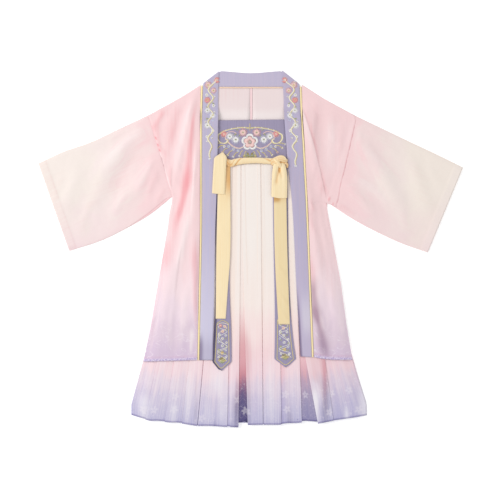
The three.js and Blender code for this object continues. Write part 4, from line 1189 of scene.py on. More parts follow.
def pleat_marks(points, level, hem_x, from_hem, folds):
    """What the shader reads: the tint inside folds, which paints shade there, the pale left side, the folds'
    edges, the painted shadow and light.
    """
    x, y = points[..., 0], points[..., 1]
    edge = np.zeros_like(level)
    turns = np.abs(np.diff(level, axis=1)) > 0.05
    edge[:, :-1] += turns
    edge[:, 1:] += turns
    pale = ease(-120, -150, x)
    pinker = 1 + 0.6 * ease(-60, 0, x) * ease(170, 120, x) * ease(-130, -260, y)
    # Painted shade: the lowest layer, seen inside a fold, is tinted deeper, and pinker in the middle of the
    # front.
    tint = 0.75 * np.clip(1 - level, 0, 1) * ease(1.0, 0.6, level)
    tint = tint * (0.6 - 0.42 * pale) * pinker * (1 - 0.5 * ease(200, 210, hem_x))
    tint = tint + 0.25 * np.exp(-(((from_hem - 5.5) / 1.5) ** 2))
    on_top = np.maximum(ease(0.5, 1.5, level), ease(225, 240, np.abs(x)))
    shadow = press(points, folds)[1] * on_top
    inside_left = (level < 0.5) * (hem_x > -31.5) * (hem_x < -5)
    inside_right = (level < 0.5) * (hem_x > 126) * (hem_x < 170)
    shadow = shadow + inside_left * (0.5 * ease(-130, -250, y) + 0.5 * ease(-270, -350, y))
    shadow = shadow + inside_right * 0.4 * ease(-250, -330, y)
    return {"tint": tint, "pale": pale, "edge": np.clip(edge, 0, 1) * (1 - 0.5 * pale), "shadow": shadow}


def pleated(name, pleats, rest, pitch, settles, inset, seed, hem_rise=0.0):
    """A pleated panel and its points: the path at every height, in layers, down to the hem."""
    def line(share):
        y = SKIRT_TOP + (SKIRT_FOOT - SKIRT_TOP) * share
        left = read_table(SKIRT_EDGE, 1, y) + inset
        right = read_table(SKIRT_EDGE, 2, y) - inset
        return pleat_path(pleats, share, left, right, settles)

    hem = line(1.0)
    steps = [
        NOSE_STEPS if a[2] else max(1, round(abs(b[0] - a[0]) / FLAT_STEP)) for a, b in zip(hem, hem[1:])
    ]
    hem = np.array(fine_path(hem, steps))
    hem_y = hem_heights(hem, hem_rise)
    places = np.array([fine_path(line(share), steps) for share in HEIGHT_SHARES])
    x, level = places[..., 0], places[..., 1]
    y = SKIRT_TOP + (hem_y - SKIRT_TOP) * HEIGHT_SHARES[:, None]
    thin = THIN_PITCH[0] + (THIN_PITCH[1] - THIN_PITCH[0]) * ease(0, -260, y)
    z = rest(x, y) + CLOTH / 2 + (2 * pitch(y) - (2 - level) * thin) * loft(x, y)
    points = np.stack([x, y, z], axis=2)
    across = np.concatenate([[0.0], np.hypot(np.diff(hem[:, 0]), 1.4 * np.diff(hem[:, 1])).cumsum()])
    across = across + 0 * HEIGHT_SHARES[:, None]
    waves = 0.16 * np.sin(across / 3.3) * np.sin(across / 11.0 + seed)
    gather = ease(SKIRT_TOP - 130, SKIRT_TOP, y)
    from_hem = y - hem_y[None, :]
    points[..., 2] += waves * (1 + 0.6 * gather) + CLOTH * 0.25
    points[..., 2] += 0.35 * np.exp(-(((from_hem - 3) / 2.5) ** 2))
    marks = pleat_marks(points, level, hem[:, 0], from_hem, [] if hem_rise else SKIRT_FOLDS)
    uv = np.stack([across, from_hem], axis=2)
    points, uv, *turned = turned_up(points, uv, *marks.values())
    return lay(name, points, uv, dict(zip(marks, turned)), SKIRT, 0.4), points


PIECES["skirt_front"], skirt_points = pleated(
    "cloth_skirt_front", FRONT_PLEATS, front_rest, front_pitch, False, 1, 0.4
)
declare(PIECES["skirt_front"], ["skirt_front"], skirt_points)
PIECES["skirt_back"], skirt_points = pleated(
    "cloth_skirt_back", BACK_PLEATS, lambda x, y: skirt_rest(y), lambda y: BACK_PITCH, True, 3, 2.1, 11.0
)
declare(PIECES["skirt_back"], ["skirt_back"], skirt_points)

# %% [markdown]
# ## Collar, chest band, ribbons and tails
# These are narrow strips of doubled cloth. Their long edges are folds, so they are a little lower and
# rounder there than in the middle. A strip takes its outline and height from its wall like the robe,
# with extra columns close to its edges for the roundness.

# %% The strips' shades
# Each shade: how strong it is, then the ranges over which it fades in. They run along x and y on the
# garment, or go by the distance from the strip's left or right edge. Each is painted shade, and one
# below 0 paints light instead.
SHADES = {
    "collar_left": [
        (0.5, ("left", 12, 2), ("y", -190, -240)),
        (0.34, ("y", -190, -258)),
        (0.5, ("right", 5, 1), ("y", -90, -200)),
    ],
    "collar_right": [
        (0.9, ("left", 8, 1), ("y", -50, -190)),
        (-0.4, ("left", 4, 14), ("y", -50, -170), ("y", -262, -185)),
    ],
    "ribbon_left": [(0.9, ("left", 8, 3))],
    "ribbon_right": [(0.55, ("right", 8, 3), ("y", -190, -150))],
    "tie_tail_left": [(0.62, ("y", 108, 175), ("x", -66, -56)), (0.2, ("y", 60, 150))],
    "tie_tail_right": [(0.8, ("y", 108, 126), ("x", 80, 66)), (0.3, ("y", 100, 130))],
}


def strip_shade(name, points):
    """How much deeper a strip's colour is at its points, in the shadow of its neighbours."""
    x, y = points[..., 0], points[..., 1]
    along = {"x": x, "y": y, "left": x - x[:, :1], "right": x[:, -1:] - x}
    shade = np.zeros_like(x)
    for strength, *ranges in SHADES.get(name, ()):
        shade += strength * np.prod([ease(low, high, along[way]) for way, low, high in ranges], axis=0)
    return shade


# %% [markdown]
# One function makes a strip from its wall. All strips are attached and measured at the end, after the
# embroidery.

# %% A strip
STRIP_EDGE = 0.035  # share of a strip's width that its rounded edge takes
TAIL_WIDTH = 0.94  # share of its wall that a tail fills
TO_DECLARE = []
# The panels that carry embroidery, and the piece of stitches on each.
EMBROIDERED = {
    "chest_band_front": "stitches_chest",
    "collar_left": "stitches_collar_left",
    "collar_right": "stitches_collar_right",
    "ribbon_left": "stitches_ribbon_left",
    "ribbon_right": "stitches_ribbon_right",
}


def band_strip(name, size, material, thickness, slot, rests_on, creases, seed):
    """A strip of doubled cloth. One with more columns than rows lies across, and is cut upright."""
    rows, columns = size
    points, uv = panel_grid(WALLS[name], rows, columns, STRIP_EDGE, upright=columns > rows)
    points[..., 2] = smooth_grid(points[..., 2], 8)
    if name.startswith("tie_tail"):
        middle = points[..., 0].mean(axis=1, keepdims=True)
        points[..., 0] = middle + (points[..., 0] - middle) * TAIL_WIDTH
    left, right = points[:, :1, 0].copy(), points[:, -1:, 0].copy()
    from_edge = np.minimum(points[..., 0] - left, right - points[..., 0])
    lift, tint = press(points, creases)
    lift = lift + ripple(points, 30, 0.3, seed)
    points[..., 2] += lift * ease(0, 8, from_edge) - 0.4 * ease(1.6, 0.0, from_edge)
    tint = tint + strip_shade(name, points)
    if slot == "collar_cloth":
        slant_hem(points)
    points, uv, tint = turned_up(points, uv, tint)
    piece = lay(f"cloth_{name}", points, uv, tint, material, thickness)
    sewn_on = [EMBROIDERED[name]] if name in EMBROIDERED else []
    TO_DECLARE.append((piece, name, slot, points, [rests_on], sewn_on))
    return piece


# %% [markdown]
# The strips themselves, with their creases.

# %% Collar, chest band, ribbons and tails
BAND_CREASES = [
    (-58, 226, -50, 250, 0, 4, 0.7, 0, 0.3),
    (-40, 224, -36, 240, 0, 4, 0.5, 0, 0.2),
    (54, 228, 66, 256, 0, 5, 0.8, 0, 0.3),
    (34, 226, 38, 242, 0, 4, 0.4, 0, 0.15),
    (-84, 316, -60, 300, 0, 7, 0.5, 0, 0.0),
]
TAIL_RIGHT_CREASES = [
    (66, -40, 90, -70, 0, 6, 0.9, 0, 0.1),
    (72, -112, 94, -140, 0, 5, 1.1, 0, 0.15),
    (74, -150, 92, -178, 0, 5, 0.9, 0, 0.1),
]
TAIL_LEFT_CREASES = [(-80, 60, -52, 20, 0, 9, 0.5, 0, 0.05), (-84, -120, -62, -160, 0, 7, 0.6, 0, 0.08)]
COLLAR_LEFT_CREASES = [
    (-104, 100, -106, -270, 0, 4, 0.35, 0, 0.1),
    (-112, -60, -113, -240, 0, 4, 0.3, 0, 0.05),
    (-96, 190, -100, 60, 0, 6, 0.4, 0, 0.1),
]
COLLAR_RIGHT_CREASES = [(118, 120, 136, -180, 0, 5, 0.4, 0, 0.05), (108, 200, 118, 80, 0, 6, 0.4, 0, 0.1)]

# Each entry: panel, rows and columns, material, thickness, slot, what it rests on, creases, seed.
STRIPS = [
    ("collar_left", (170, 9), COLLAR_LEFT, 1.3, "collar_cloth", "skirt_front", COLLAR_LEFT_CREASES, 1.0),
    ("collar_right", (170, 9), COLLAR_RIGHT, 1.3, "collar_cloth", "skirt_front", COLLAR_RIGHT_CREASES, 4.0),
    ("collar_back", (16, 50), NECK, 1.3, "collar_cloth", "table", (), 6.0),
    ("chest_band_front", (40, 90), BAND, 1.3, "band_cloth", "chest_band_back", BAND_CREASES, 9.0),
    ("chest_band_back", (20, 40), BAND, 1.3, "band_cloth", "robe_back_left", (), 10.0),
    ("ribbon_left", (150, 11), RIBBON, 1.0, "band_cloth", "skirt_front", (), 12.0),
    ("tie_tail_left", (110, 15), TIE, 0.9, "tie_cloth", "ribbon_left", TAIL_LEFT_CREASES, 13.0),
    ("tie_side_left", (8, 30), TIE, 0.9, "tie_cloth", "chest_band_front", (), 14.0),
    ("ribbon_right", (150, 11), RIBBON, 1.0, "band_cloth", "skirt_front", (), 15.0),
    ("tie_tail_right", (110, 15), TAIL, 0.9, "tie_cloth", "ribbon_right", TAIL_RIGHT_CREASES, 16.0),
    ("tie_side_right", (8, 30), TIE, 0.9, "tie_cloth", "chest_band_front", (), 17.0),
]
for row in STRIPS:
    PIECES[row[0]] = band_strip(*row)

# %% [markdown]
# ## Piping
# A piping is a thin cord of cloth along the collar. Its wall already has the form. A copy is merged, its
# triangles are joined back to quads, its sharp edges are creased so that they stay thin, and a
# Subdivision Surface rounds the rest.

# %% Piping
SHARP = radians(50)
SHARP_CREASE = 0.75


def piping(side, material, rise):
    """The rounded copy of one piping, which stands higher than its wall by the rise."""
    name = f"piping_{side}"
    solid = bmesh.new()
    solid.from_mesh(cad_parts[name].data)
    bmesh.ops.remove_doubles(solid, verts=solid.verts, dist=MERGE)
    bmesh.ops.join_triangles(solid, faces=solid.faces, angle_face_threshold=0.7, angle_shape_threshold=1.2)
    crease = solid.edges.layers.float.new("crease_edge")
    for edge in solid.edges:
        if edge.is_manifold and edge.calc_face_angle() > SHARP:
            edge[crease] = SHARP_CREASE
    mesh = bpy.data.meshes.new(name)
    solid.to_mesh(mesh)
    solid.free()
    cord = bpy.data.objects.new(name, mesh)
    scene.collection.objects.link(cord)
    round_off = cord.modifiers.new("round", "SUBSURF")
    round_off.levels = round_off.render_levels = 1
    freeze(cord)
    points = np.array([v.co[:] for v in cord.data.vertices]) / MM
    faces = [tuple(face.vertices) for face in cord.data.polygons]
    bpy.data.objects.remove(cord)
    uv = points[:, :2].copy()
    if rise:
        points[:, 2] += rise
        slant_hem(points)
    piece = mesh_piece(f"cloth_{name}", points, faces, uv, material, {"tint": np.zeros(len(points))})
    piece.data.shade_smooth()
    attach(piece, "root")
    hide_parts(name)
    print(f"{piece.name}: {len(faces)} faces")
    return piece


for side, material, rise in (("left", PIPING, 0.5), ("right", PIPING, 0.5), ("back", NECK_PIPING, 0.0)):
    PIECES[f"piping_{side}"] = piping(side, material, rise)

# %% [markdown]
# ## The tie: roll, knots and loops
# The tie is one ribbon, twisted into a roll across the chest, knotted at both ends and looped. The roll
# and the knots' strands are tubes with a flat section, and their rows are joined by a smooth curve.

# %% A smooth curve
def curve_through(rows, count):
    """A smooth curve through the rows of a table, in all its columns (Catmull-Rom)."""
    rows = np.array(rows, float)
    ends = np.concatenate([[2 * rows[0] - rows[1]], rows, [2 * rows[-1] - rows[-2]]])
    place = np.linspace(0, len(rows) - 1, count)
    k = np.minimum(place.astype(int), len(rows) - 2)
    t = (place - k)[:, None]
    a, b, c, d = ends[k], ends[k + 1], ends[k + 2], ends[k + 3]
    return 0.5 * (2 * b + (c - a) * t + (2 * a - 5 * b + 4 * c - d) * t**2 + (3 * b - a - 3 * c + d) * t**3)


# %% [markdown]
# A tube's grooves wind along it: each starts at one place and angle and ends at another.

# %% Tubes
AROUND = 28


def tube(rows, count, grooves):
    """A tube with a flat section along rows of x, y, z, half width and half height, with its tint."""
    path = curve_through(rows, count)
    centre, wide, high = path[:, :3], path[:, 3:4], path[:, 4:5]
    along = np.gradient(centre, axis=0)
    plan = along[:, :2] / np.hypot(along[:, 0], along[:, 1])[:, None]
    length = np.linalg.norm(np.diff(centre, axis=0, prepend=centre[:1]), axis=1).cumsum()
    share = (length / length[-1])[:, None]
    angle = np.linspace(0, 2 * pi, AROUND, endpoint=False)[None, :]
    radius = np.ones((count, AROUND))
    tint = np.zeros((count, AROUND))
    for start, start_angle, stop, stop_angle, depth, width in grooves:
        line = np.radians(start_angle + (stop_angle - start_angle) * (share - start) / (stop - start))
        apart = np.abs((angle - line + pi) % (2 * pi) - pi)
        there = ease(start - 0.08, start + 0.06, share) * ease(stop + 0.08, stop - 0.06, share)
        shape = np.exp(-((apart / width) ** 2)) * there
        radius -= depth * shape
        # Painted shade in each groove.
        tint += 2.6 * depth * shape
    blunt = np.sqrt(np.clip(1 - (1 - np.minimum(share, 1 - share) / 0.06).clip(0) ** 2, 0.02, 1))
    section = radius * blunt
    points = np.empty((count, AROUND, 3))
    points[..., 0] = centre[:, :1] - plan[:, 1:] * wide * np.cos(angle) * section
    points[..., 1] = centre[:, 1:2] + plan[:, :1] * wide * np.cos(angle) * section
    points[..., 2] = centre[:, 2:] + high * np.sin(angle) * section
    uv = np.stack([length[:, None] + 0 * angle, wide * angle], axis=2)
    return points, uv, tint


def tubes_piece(name, tubes, material, replaced):
    """One mesh from several tubes."""
    verts, uvs, tints, faces = [], [], [], []
    for points, uv, tint in tubes:
        count = len(points)
        base = sum(map(len, verts))
        index = base + np.arange(count * AROUND).reshape(count, AROUND)
        turned = np.roll(index, -1, axis=1)
        faces += np.stack([index[:-1], index[1:], turned[1:], turned[:-1]], axis=2).reshape(-1, 4).tolist()
        faces += [index[0].tolist(), index[-1][::-1].tolist()]
        verts.append(points.reshape(-1, 3))
        uvs.append(uv.reshape(-1, 2))
        tints.append(tint.reshape(-1))
    marks = {"tint": np.concatenate(tints)}
    piece = mesh_piece(name, np.concatenate(verts), faces, np.concatenate(uvs), material, marks)
    solid = bmesh.new()
    solid.from_mesh(piece.data)
    bmesh.ops.recalc_face_normals(solid, faces=solid.faces)
    solid.to_mesh(piece.data)
    solid.free()
    piece.data.shade_smooth()
    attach(piece, "root")
    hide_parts(replaced)
    print(f"{piece.name}: {len(piece.data.polygons)} faces")
    return piece


# %% [markdown]
# The roll swells and thins on its way across the chest. The right knot is four strands over a filler,
# and the left one is a single short strand.

# %% The roll and the knots
# Each entry: x, y, z of the middle, half width, half height.
ROLL_ROWS = [
    (-62, 216.5, 11.6, 8.6, 1.9), (-49, 212.5, 12.1, 8.7, 2.4), (-37, 215.9, 12.3, 8.4, 2.6),
    (-27, 218.0, 12.4, 8.4, 2.7), (-17, 219.0, 12.4, 7.8, 2.7), (13, 219.9, 12.4, 7.0, 2.6),
    (36, 218.8, 12.3, 7.4, 2.5), (58, 217.6, 12.6, 7.2, 2.6),
]
# Each entry: from share, angle, to share, angle, depth, width. Angle 90 is the top, 180 the lower edge.
ROLL_GROOVES = [
    (0.15, 185, 0.36, 5, 0.34, 0.3), (0.05, 160, 0.24, 15, 0.22, 0.26), (0.02, 120, 0.12, 60, 0.2, 0.3),
    (0.34, 125, 0.86, 142, 0.07, 0.35), (0.8, 15, 0.98, 110, 0.22, 0.26),
    (0.84, 60, 1.02, 150, 0.18, 0.24),
]
STRAND_1 = [
    (48, 217, 13, 4.0, 1.8), (63, 224, 16.0, 4.6, 2.0), (74, 227.8, 17.2, 4.6, 2.0),
    (82, 226.2, 17.4, 4.2, 2.0), (86, 221.5, 16.8, 3.6, 1.8), (88, 215.5, 14.6, 3.0, 1.4),
]
FILLER = [(64, 211, 14.6, 4.0, 1.6), (75, 214, 15.2, 5.2, 1.8), (86, 212, 14.2, 4.0, 1.6)]
STRAND_2 = [
    (51, 209.5, 13.5, 4.2, 1.8), (63, 216, 17.2, 4.6, 2.0), (73.5, 221.5, 18.8, 4.8, 2.0),
    (83, 219.5, 18.0, 4.6, 1.9), (92, 219, 14.5, 4.0, 1.6),
]
STRAND_3 = [
    (57, 226, 13.4, 3.6, 1.7), (65, 217, 19.4, 4.0, 2.1), (72, 208, 19.4, 4.0, 2.0),
    (75, 201, 16.8, 3.0, 1.4),
]
STRAND_4 = [(86, 214, 15.4, 3.0, 1.5), (91, 209, 14.8, 3.0, 1.4), (90, 201, 14.2, 2.2, 1.0)]
LEFT_STRAND = [
    (-80, 223, 10.6, 6.5, 0.8), (-68, 221, 12.4, 7.4, 1.8), (-57, 214, 12.8, 7.8, 2.2),
    (-50, 209, 11.8, 6.4, 1.8),
]
STRAND_GROOVES = [
    (0.0, 62, 1.0, 108, 0.2, 0.26), (0.1, 128, 0.9, 150, 0.16, 0.26), (0.1, 40, 0.9, 18, 0.14, 0.26),
]

roll, roll_uv, roll_tint = tube(ROLL_ROWS, 120, ROLL_GROOVES)
# Painted shade: the roll's left end under the flap, its lower edge, and a little all over.
roll_tint += 0.5 * ease(-47, -58, roll[..., 0]) + 0.35 * ease(215, 207, roll[..., 1]) + 0.1
PIECES["tie_front"] = tubes_piece("cloth_tie_front", [(roll, roll_uv, roll_tint)], TIE, "tie_front")
strands = [tube(rows, 60, STRAND_GROOVES) for rows in (STRAND_1, STRAND_2, STRAND_3, STRAND_4, FILLER)]
for shade, (points, uv, tint) in zip((0.05, 0.2, 0.0, 0.3, 0.6), strands):
    # Painted shade: each strand by how deep it lies in the knot, and all of them lower down.
    tint += shade + 0.5 * ease(16.5, 14, points[..., 2])
PIECES["knot_right"] = tubes_piece("cloth_tie_knot_right", strands, TIE, "tie_knot_right")
left_strand = tube(LEFT_STRAND, 50, STRAND_GROOVES)
# Painted shade: the left strand lies in the flap's shadow.
left_strand[2][:] += 0.55
PIECES["knot_left"] = tubes_piece("cloth_tie_knot_left", [left_strand], TIE, "tie_knot_left")

# %% [markdown]
# A loop is a ribbon that runs down in front, turns round its foot and comes back up behind, where it
# ends a good way below the knot.

# %% The loops
# Each entry: left x, y, right x, y, and the height of the ribbon's face.
LOOP_LEFT_ROWS = [
    (-71.8, 240.5, -67.8, 240.0, 9.2), (-79.3, 234.8, -63.8, 234.8, 12.8),
    (-86.3, 229.8, -60.0, 228.8, 15.8), (-90.8, 223.8, -59.6, 221.0, 17.2),
    (-92.0, 211.0, -60.6, 208.8, 17.4), (-93.8, 183.8, -62.0, 181.2, 16.6),
    (-96.2, 138.8, -64.0, 135.2, 16.0),
]
LOOP_RIGHT_ROWS = [
    (61.0, 213.5, 82.0, 213.8, 16.5), (56.0, 207.5, 86.0, 207.5, 18.6), (53.6, 191.2, 89.2, 193.8, 18.8),
    (52.6, 171.2, 91.2, 173.8, 18.0), (51.8, 148.8, 91.2, 148.8, 17.0), (51.5, 130.5, 90.8, 126.8, 16.4),
]
LOOP_LEFT_CREASES = [(-70, 240, -69, 190, 0, 2.2, 0.5, 1, 0.1), (-84, 206, -86, 146, 0, 6, -0.3, 0, 0.03)]
LOOP_RIGHT_CREASES = [
    (72.5, 214, 71.0, 188, 0, 2.2, -3.2, 0, 1.3),
    (70.5, 198, 63.0, 156, 1, 4.6, -1.5, 0, 0.55),
    (73.0, 196, 79.0, 172, 0, 3.2, -1.0, 0, 0.35),
    (64.0, 212, 58.0, 168, 0, 3.0, 0.7, 0, -0.1),
    (80.0, 212, 84.0, 160, 0, 4.0, 0.8, 0, -0.1),
    (56.0, 140, 72.0, 132, 0, 4.0, 0.4, 0, 0.1),
    (76.0, 136, 88.0, 133, 0, 3.0, 0.3, 0, 0.1),
]
NOSE_ROWS = 6
LOOP_SIZE = (60, 34)  # rows and columns of a loop's front
BACK_ROWS = 37
LOOP_FOOT = 13.8  # height of the part behind


def tie_loop(side, rows, creases, sag):
    """One loop of the bow, from its front round its foot to its back."""
    path = curve_through(rows, LOOP_SIZE[0])
    u = np.linspace(0, 1, LOOP_SIZE[1])[None, :]
    v = np.linspace(0, 1, LOOP_SIZE[0])[:, None]
    front = np.empty((*LOOP_SIZE, 3))
    front[..., 0] = path[:, 0:1] * (1 - u) + path[:, 2:3] * u
    front[..., 1] = path[:, 1:2] * (1 - u) + path[:, 3:4] * u
    front[..., 1] -= sag * np.sin(pi * u) * ease(0.7, 1.0, v)
    lift, tint = press(front, creases)
    front[..., 2] = path[:, 4:5] - 1.3 * ease(0.86, 1.0, u) - 0.9 * ease(0.1, 0.0, u) + lift
    foot = front[-1]
    radius = (foot[:, 2] - LOOP_FOOT) / 2
    nose = []
    for step in range(1, NOSE_ROWS):
        turn = pi * step / NOSE_ROWS
        ring = foot.copy()
        ring[:, 1] -= radius * sin(turn)
        ring[:, 2] = LOOP_FOOT + radius * (1 + cos(turn))
        nose.append(ring)
    back = front[::-1][:BACK_ROWS].copy()
    back[..., 2] = LOOP_FOOT
    points = np.concatenate([front, np.array(nose), back])
    # Painted shade: the turn and the part behind are darker, and so are the front's edges, most at the
    # right.
    tint = np.concatenate([tint, np.full((len(nose), LOOP_SIZE[1]), 0.1), np.full(back.shape[:2], 0.4)])
    tint += 0.2 * ease(0.88, 1.0, u) + 0.06 * ease(0.05, 0.0, u)
    down = np.linalg.norm(np.diff(points, axis=0, prepend=points[:1]), axis=2).cumsum(axis=0)
    uv = np.stack([points[..., 0], down], axis=2)
    points, uv, tint = turned_up(points, uv, tint, seen=front)
    piece = lay(f"cloth_tie_loop_{side}", points, uv, tint, TIE, 0.45)
    declare(piece, [f"tie_loop_{side}"], points)
    return piece


PIECES["loop_left"] = tie_loop("left", LOOP_LEFT_ROWS, LOOP_LEFT_CREASES, 0.0)
PIECES["loop_right"] = tie_loop("right", LOOP_RIGHT_ROWS, LOOP_RIGHT_CREASES, 2.0)

# %% [markdown]
# ## Threads and stitches
# Embroidery is thousands of short satin stitches. Geometry Nodes put one small thread on each point of
# a cloud: the point says which way the stitch runs, how long and wide it is, and which thread it is.
# Each thread has its own colour and roughness, and a fine uneven surface.

# %% Threads
THREADS = {
    "gold": ("ead98c", 0.35),
    "cream": ("fdf6dc", 0.4),
    "white": ("fbfafa", 0.45),
    "pink": ("fcd9d4", 0.4),
    "coral": ("f6aca8", 0.4),
    "blue": ("dde4f8", 0.4),
    "green": ("c0c596", 0.4),
    "olive": ("b5a658", 0.4),
}
GOLD, CREAM, WHITE, PINK, CORAL, BLUE, GREEN, OLIVE = range(8)


def thread_material(name, colour, roughness):
    """One thread's silk, a little darker in patches."""
    material, tree, shader = new_material(f"thread {name}", roughness, 0.2)
    uneven = noisy(tree, Scale=900.0, Detail=1.0)
    darker = blend(tree, 0.22, colour, "a59a9a", "MULTIPLY")
    painted = blend(tree, spread(tree, uneven, 0.35, 0.65), darker, colour)
    tree.links.new(painted, shader.inputs["Base Color"])
    grain = {"Height": uneven, "Strength": 0.3, "Distance": 0.1 * MM}
    bump = add(tree, "ShaderNodeBump", grain)
    tree.links.new(bump.outputs["Normal"], shader.inputs["Normal"])
    return material


THREAD_MATERIALS = [thread_material(name, *look) for name, look in THREADS.items()]


print("threads:", len(THREAD_MATERIALS))

# %% [markdown]
# The functions below only write rows of stitches, in millimetres: a rope of slanting stitches along a
# line, a petal filled side by side, a whole blossom, a bud, a leaf and a French knot. A row holds x, y,
# the way the stitch runs, how long and wide it is, and its thread.

# %% Kinds of stitches
ROPE_LEAN = 0.25
SATIN_WIDTH = 1.1
FIVE = range(5)


def rope(rows, path, shade, long=4.0, wide=1.5, step=1.9):
    """Stem stitch along a smooth line."""
    path = curve_through(path, 16 * len(path))
    length = np.hypot(*np.diff(path, axis=0, prepend=path[:1]).T).cumsum()
    places = np.arange(step / 2, length[-1], step)
    x, y = np.interp(places, length, path[:, 0]), np.interp(places, length, path[:, 1])
    turn = np.arctan2(np.gradient(y), np.gradient(x)) + ROPE_LEAN
    rows += [(*row, long, wide, shade) for row in zip(x, y, turn)]


def off(x, y, angle, out):
    """The point that lies a distance out from x, y in a direction."""
    return x + cos(angle) * out, y + sin(angle) * out


def petal(rows, x, y, turn, reach, width, shade, inner=0.7):
    """Satin stitches side by side, longest in the middle."""
    for t in np.linspace(-1, 1, max(3, round(width))):
        long = (reach - inner) * (1 - 0.4 * t * t)
        angle = turn + 0.5 * t
        middle = inner + long / 2
        aside = 0.24 * width * t
        at_x = x + cos(angle) * middle - sin(turn) * aside
        at_y = y + sin(angle) * middle + cos(turn) * aside
        rows.append((at_x, at_y, angle, long * 1.08, SATIN_WIDTH, shade))


def french_knot(rows, x, y, size, shade):
    """One round stitch."""
    rows.append((x, y, 0.0, size, size, shade))


def blossom(rows, x, y, radius, shade, heart, turn, rim=None):
    """Five petals round a heart of small knots, with an optional rim in another thread."""
    for k in FIVE:
        angle = turn + 2 * pi * k / 5
        petal(rows, x, y, angle, radius, radius * 0.95, shade)
        for t in np.linspace(-1, 1, 5) if rim is not None else ():
            out = radius * (1 - 0.09 * t * t)
            bent = angle + 0.46 * t
            rows.append((*off(x, y, bent, out), bent, radius * 0.3, SATIN_WIDTH, rim))
    for k in FIVE:
        angle = 1.0 + 2 * pi * k / 5
        french_knot(rows, *off(x, y, angle, radius * 0.16), radius * 0.24, heart)


def bud(rows, x, y, turn, size, shade):
    """One petal in a small gold cup."""
    petal(rows, x, y, turn, size, size * 0.75, shade, inner=0.0)
    for lean in (-0.6, 0.6):
        rows.append((*off(x, y, turn + lean, 1.0), turn + lean, 2.4, 0.9, GOLD))


def leaf(rows, x, y, turn, length, shade):
    """Slanting stitches on both sides of a middle line."""
    for t in np.arange(0.12, 1.0, 1.2 / length):
        half = 0.26 * length * sin(pi * t**0.8)
        for side in (-1, 1):
            at_x = x + cos(turn) * t * length - sin(turn) * side * half * 0.5
            at_y = y + sin(turn) * t * length + cos(turn) * side * half * 0.5
            rows.append((at_x, at_y, turn + side * 0.7, half * 1.35 + 0.7, 0.95, shade))


def mirrored(rows, centre):
    """The same stitches on the other side of a middle line."""
    return [(2 * centre - x, y, pi - turn, long, wide, shade) for x, y, turn, long, wide, shade in rows]


# %% [markdown]
# The node tree sets a small sphere on every point, stretches it to a thread, turns it, makes all of them
# real, and gives each its thread's material.

# %% Geometry Nodes for the stitches
def stitch_tree():
    """Geometry Nodes that turn a cloud of points into threads."""
    tree = bpy.data.node_groups.new("stitches", "GeometryNodeTree")
    tree.interface.new_socket("Geometry", in_out="INPUT", socket_type="NodeSocketGeometry")
    tree.interface.new_socket("Stitch height", in_out="INPUT", socket_type="NodeSocketFloat")
    tree.interface.new_socket("Geometry", in_out="OUTPUT", socket_type="NodeSocketGeometry")
    start = tree.nodes.new("NodeGroupInput")

    def mark(name):
        return add(tree, "GeometryNodeInputNamedAttribute", {"Name": name}, data_type="FLOAT").outputs[0]

    measures = {0: mark("long"), 1: mark("wide"), 2: start.outputs["Stitch height"]}
    size = add(tree, "ShaderNodeCombineXYZ", measures).outputs[0]
    facing = add(tree, "ShaderNodeCombineXYZ", {2: mark("turn")}).outputs[0]
    thread = add(tree, "GeometryNodeMeshIcoSphere", {"Radius": 0.5, "Subdivisions": 1}).outputs["Mesh"]
    cloud = {"Points": start.outputs["Geometry"], "Instance": thread, "Rotation": facing, "Scale": size}
    placed = add(tree, "GeometryNodeInstanceOnPoints", cloud).outputs["Instances"]
    made = add(tree, "GeometryNodeRealizeInstances", {0: placed}).outputs[0]
    made = add(tree, "GeometryNodeSetShadeSmooth", {0: made}).outputs[0]
    for shade, material in enumerate(THREAD_MATERIALS):
        both = {0: mark("shade"), 1: float(shade)}
        is_shade = add(tree, "FunctionNodeCompare", both, data_type="FLOAT", operation="EQUAL")
        is_shade.inputs["Epsilon"].default_value = 0.3
        painted = add(tree, "GeometryNodeSetMaterial", {"Geometry": made, "Selection": is_shade.outputs[0]})
        painted.inputs["Material"].default_value = material
        made = painted.outputs[0]
    end = add(tree, "NodeGroupOutput")
    tree.links.new(made, end.inputs["Geometry"])
    return tree


STITCH_TREE = stitch_tree()
print("stitch nodes:", len(STITCH_TREE.nodes))

# %% [markdown]
# The rows become a cloud of points on the cloth's surface, and those beside the cloth are left out.

# %% Setting the stitches
STITCH_HEIGHT = 0.9


def stitched(name, rows, ground):
    """The threads of one panel, set on its cloth."""
    surface = bmesh.new()
    surface.from_mesh(ground.data)
    tree = BVHTree.FromBMesh(surface)
    surface.free()
    points, kept = [], []
    for row in rows:
        hit = tree.ray_cast(Vector((row[0] * MM, row[1] * MM, 1.0)), Vector((0, 0, -1)))[0]
        if hit is not None:
            points.append((row[0] * MM, row[1] * MM, hit.z + 0.2 * STITCH_HEIGHT * MM))
            kept.append(row)
    mesh = bpy.data.meshes.new(name)
    mesh.from_pydata(points, [], [])
    columns = np.array(kept, dtype=np.float32)
    for mark, column, scale in (("turn", 2, 1.0), ("long", 3, MM), ("wide", 4, MM), ("shade", 5, 1.0)):
        values = (columns[:, column] * scale).astype(np.float32)
        mesh.attributes.new(mark, "FLOAT", "POINT").data.foreach_set("value", values)
    piece = bpy.data.objects.new(name, mesh)
    scene.collection.objects.link(piece)
    maker = piece.modifiers.new("stitches", "NODES")
    maker.node_group = STITCH_TREE
    height_input = STITCH_TREE.interface.items_tree["Stitch height"].identifier
    maker[height_input] = STITCH_HEIGHT * MM
    freeze(piece)
    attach(piece, "root")
    print(f"{name}: {len(kept)} stitches, {len(piece.data.polygons)} faces")
    return piece


# %% [markdown]
# ## The chest band's embroidery
# A large five-petalled blossom stands in the middle, under a gold arch with white knots. Flowers, a
# pink vine and gold sprays spread to both sides. One half is worked out and then mirrored.

# %% The chest band's embroidery
CHEST_CENTRE = -2.0
CHEST_TOP = 321.0
GREAT_RADIUS = 22.5
GREAT_DROP = 55.0


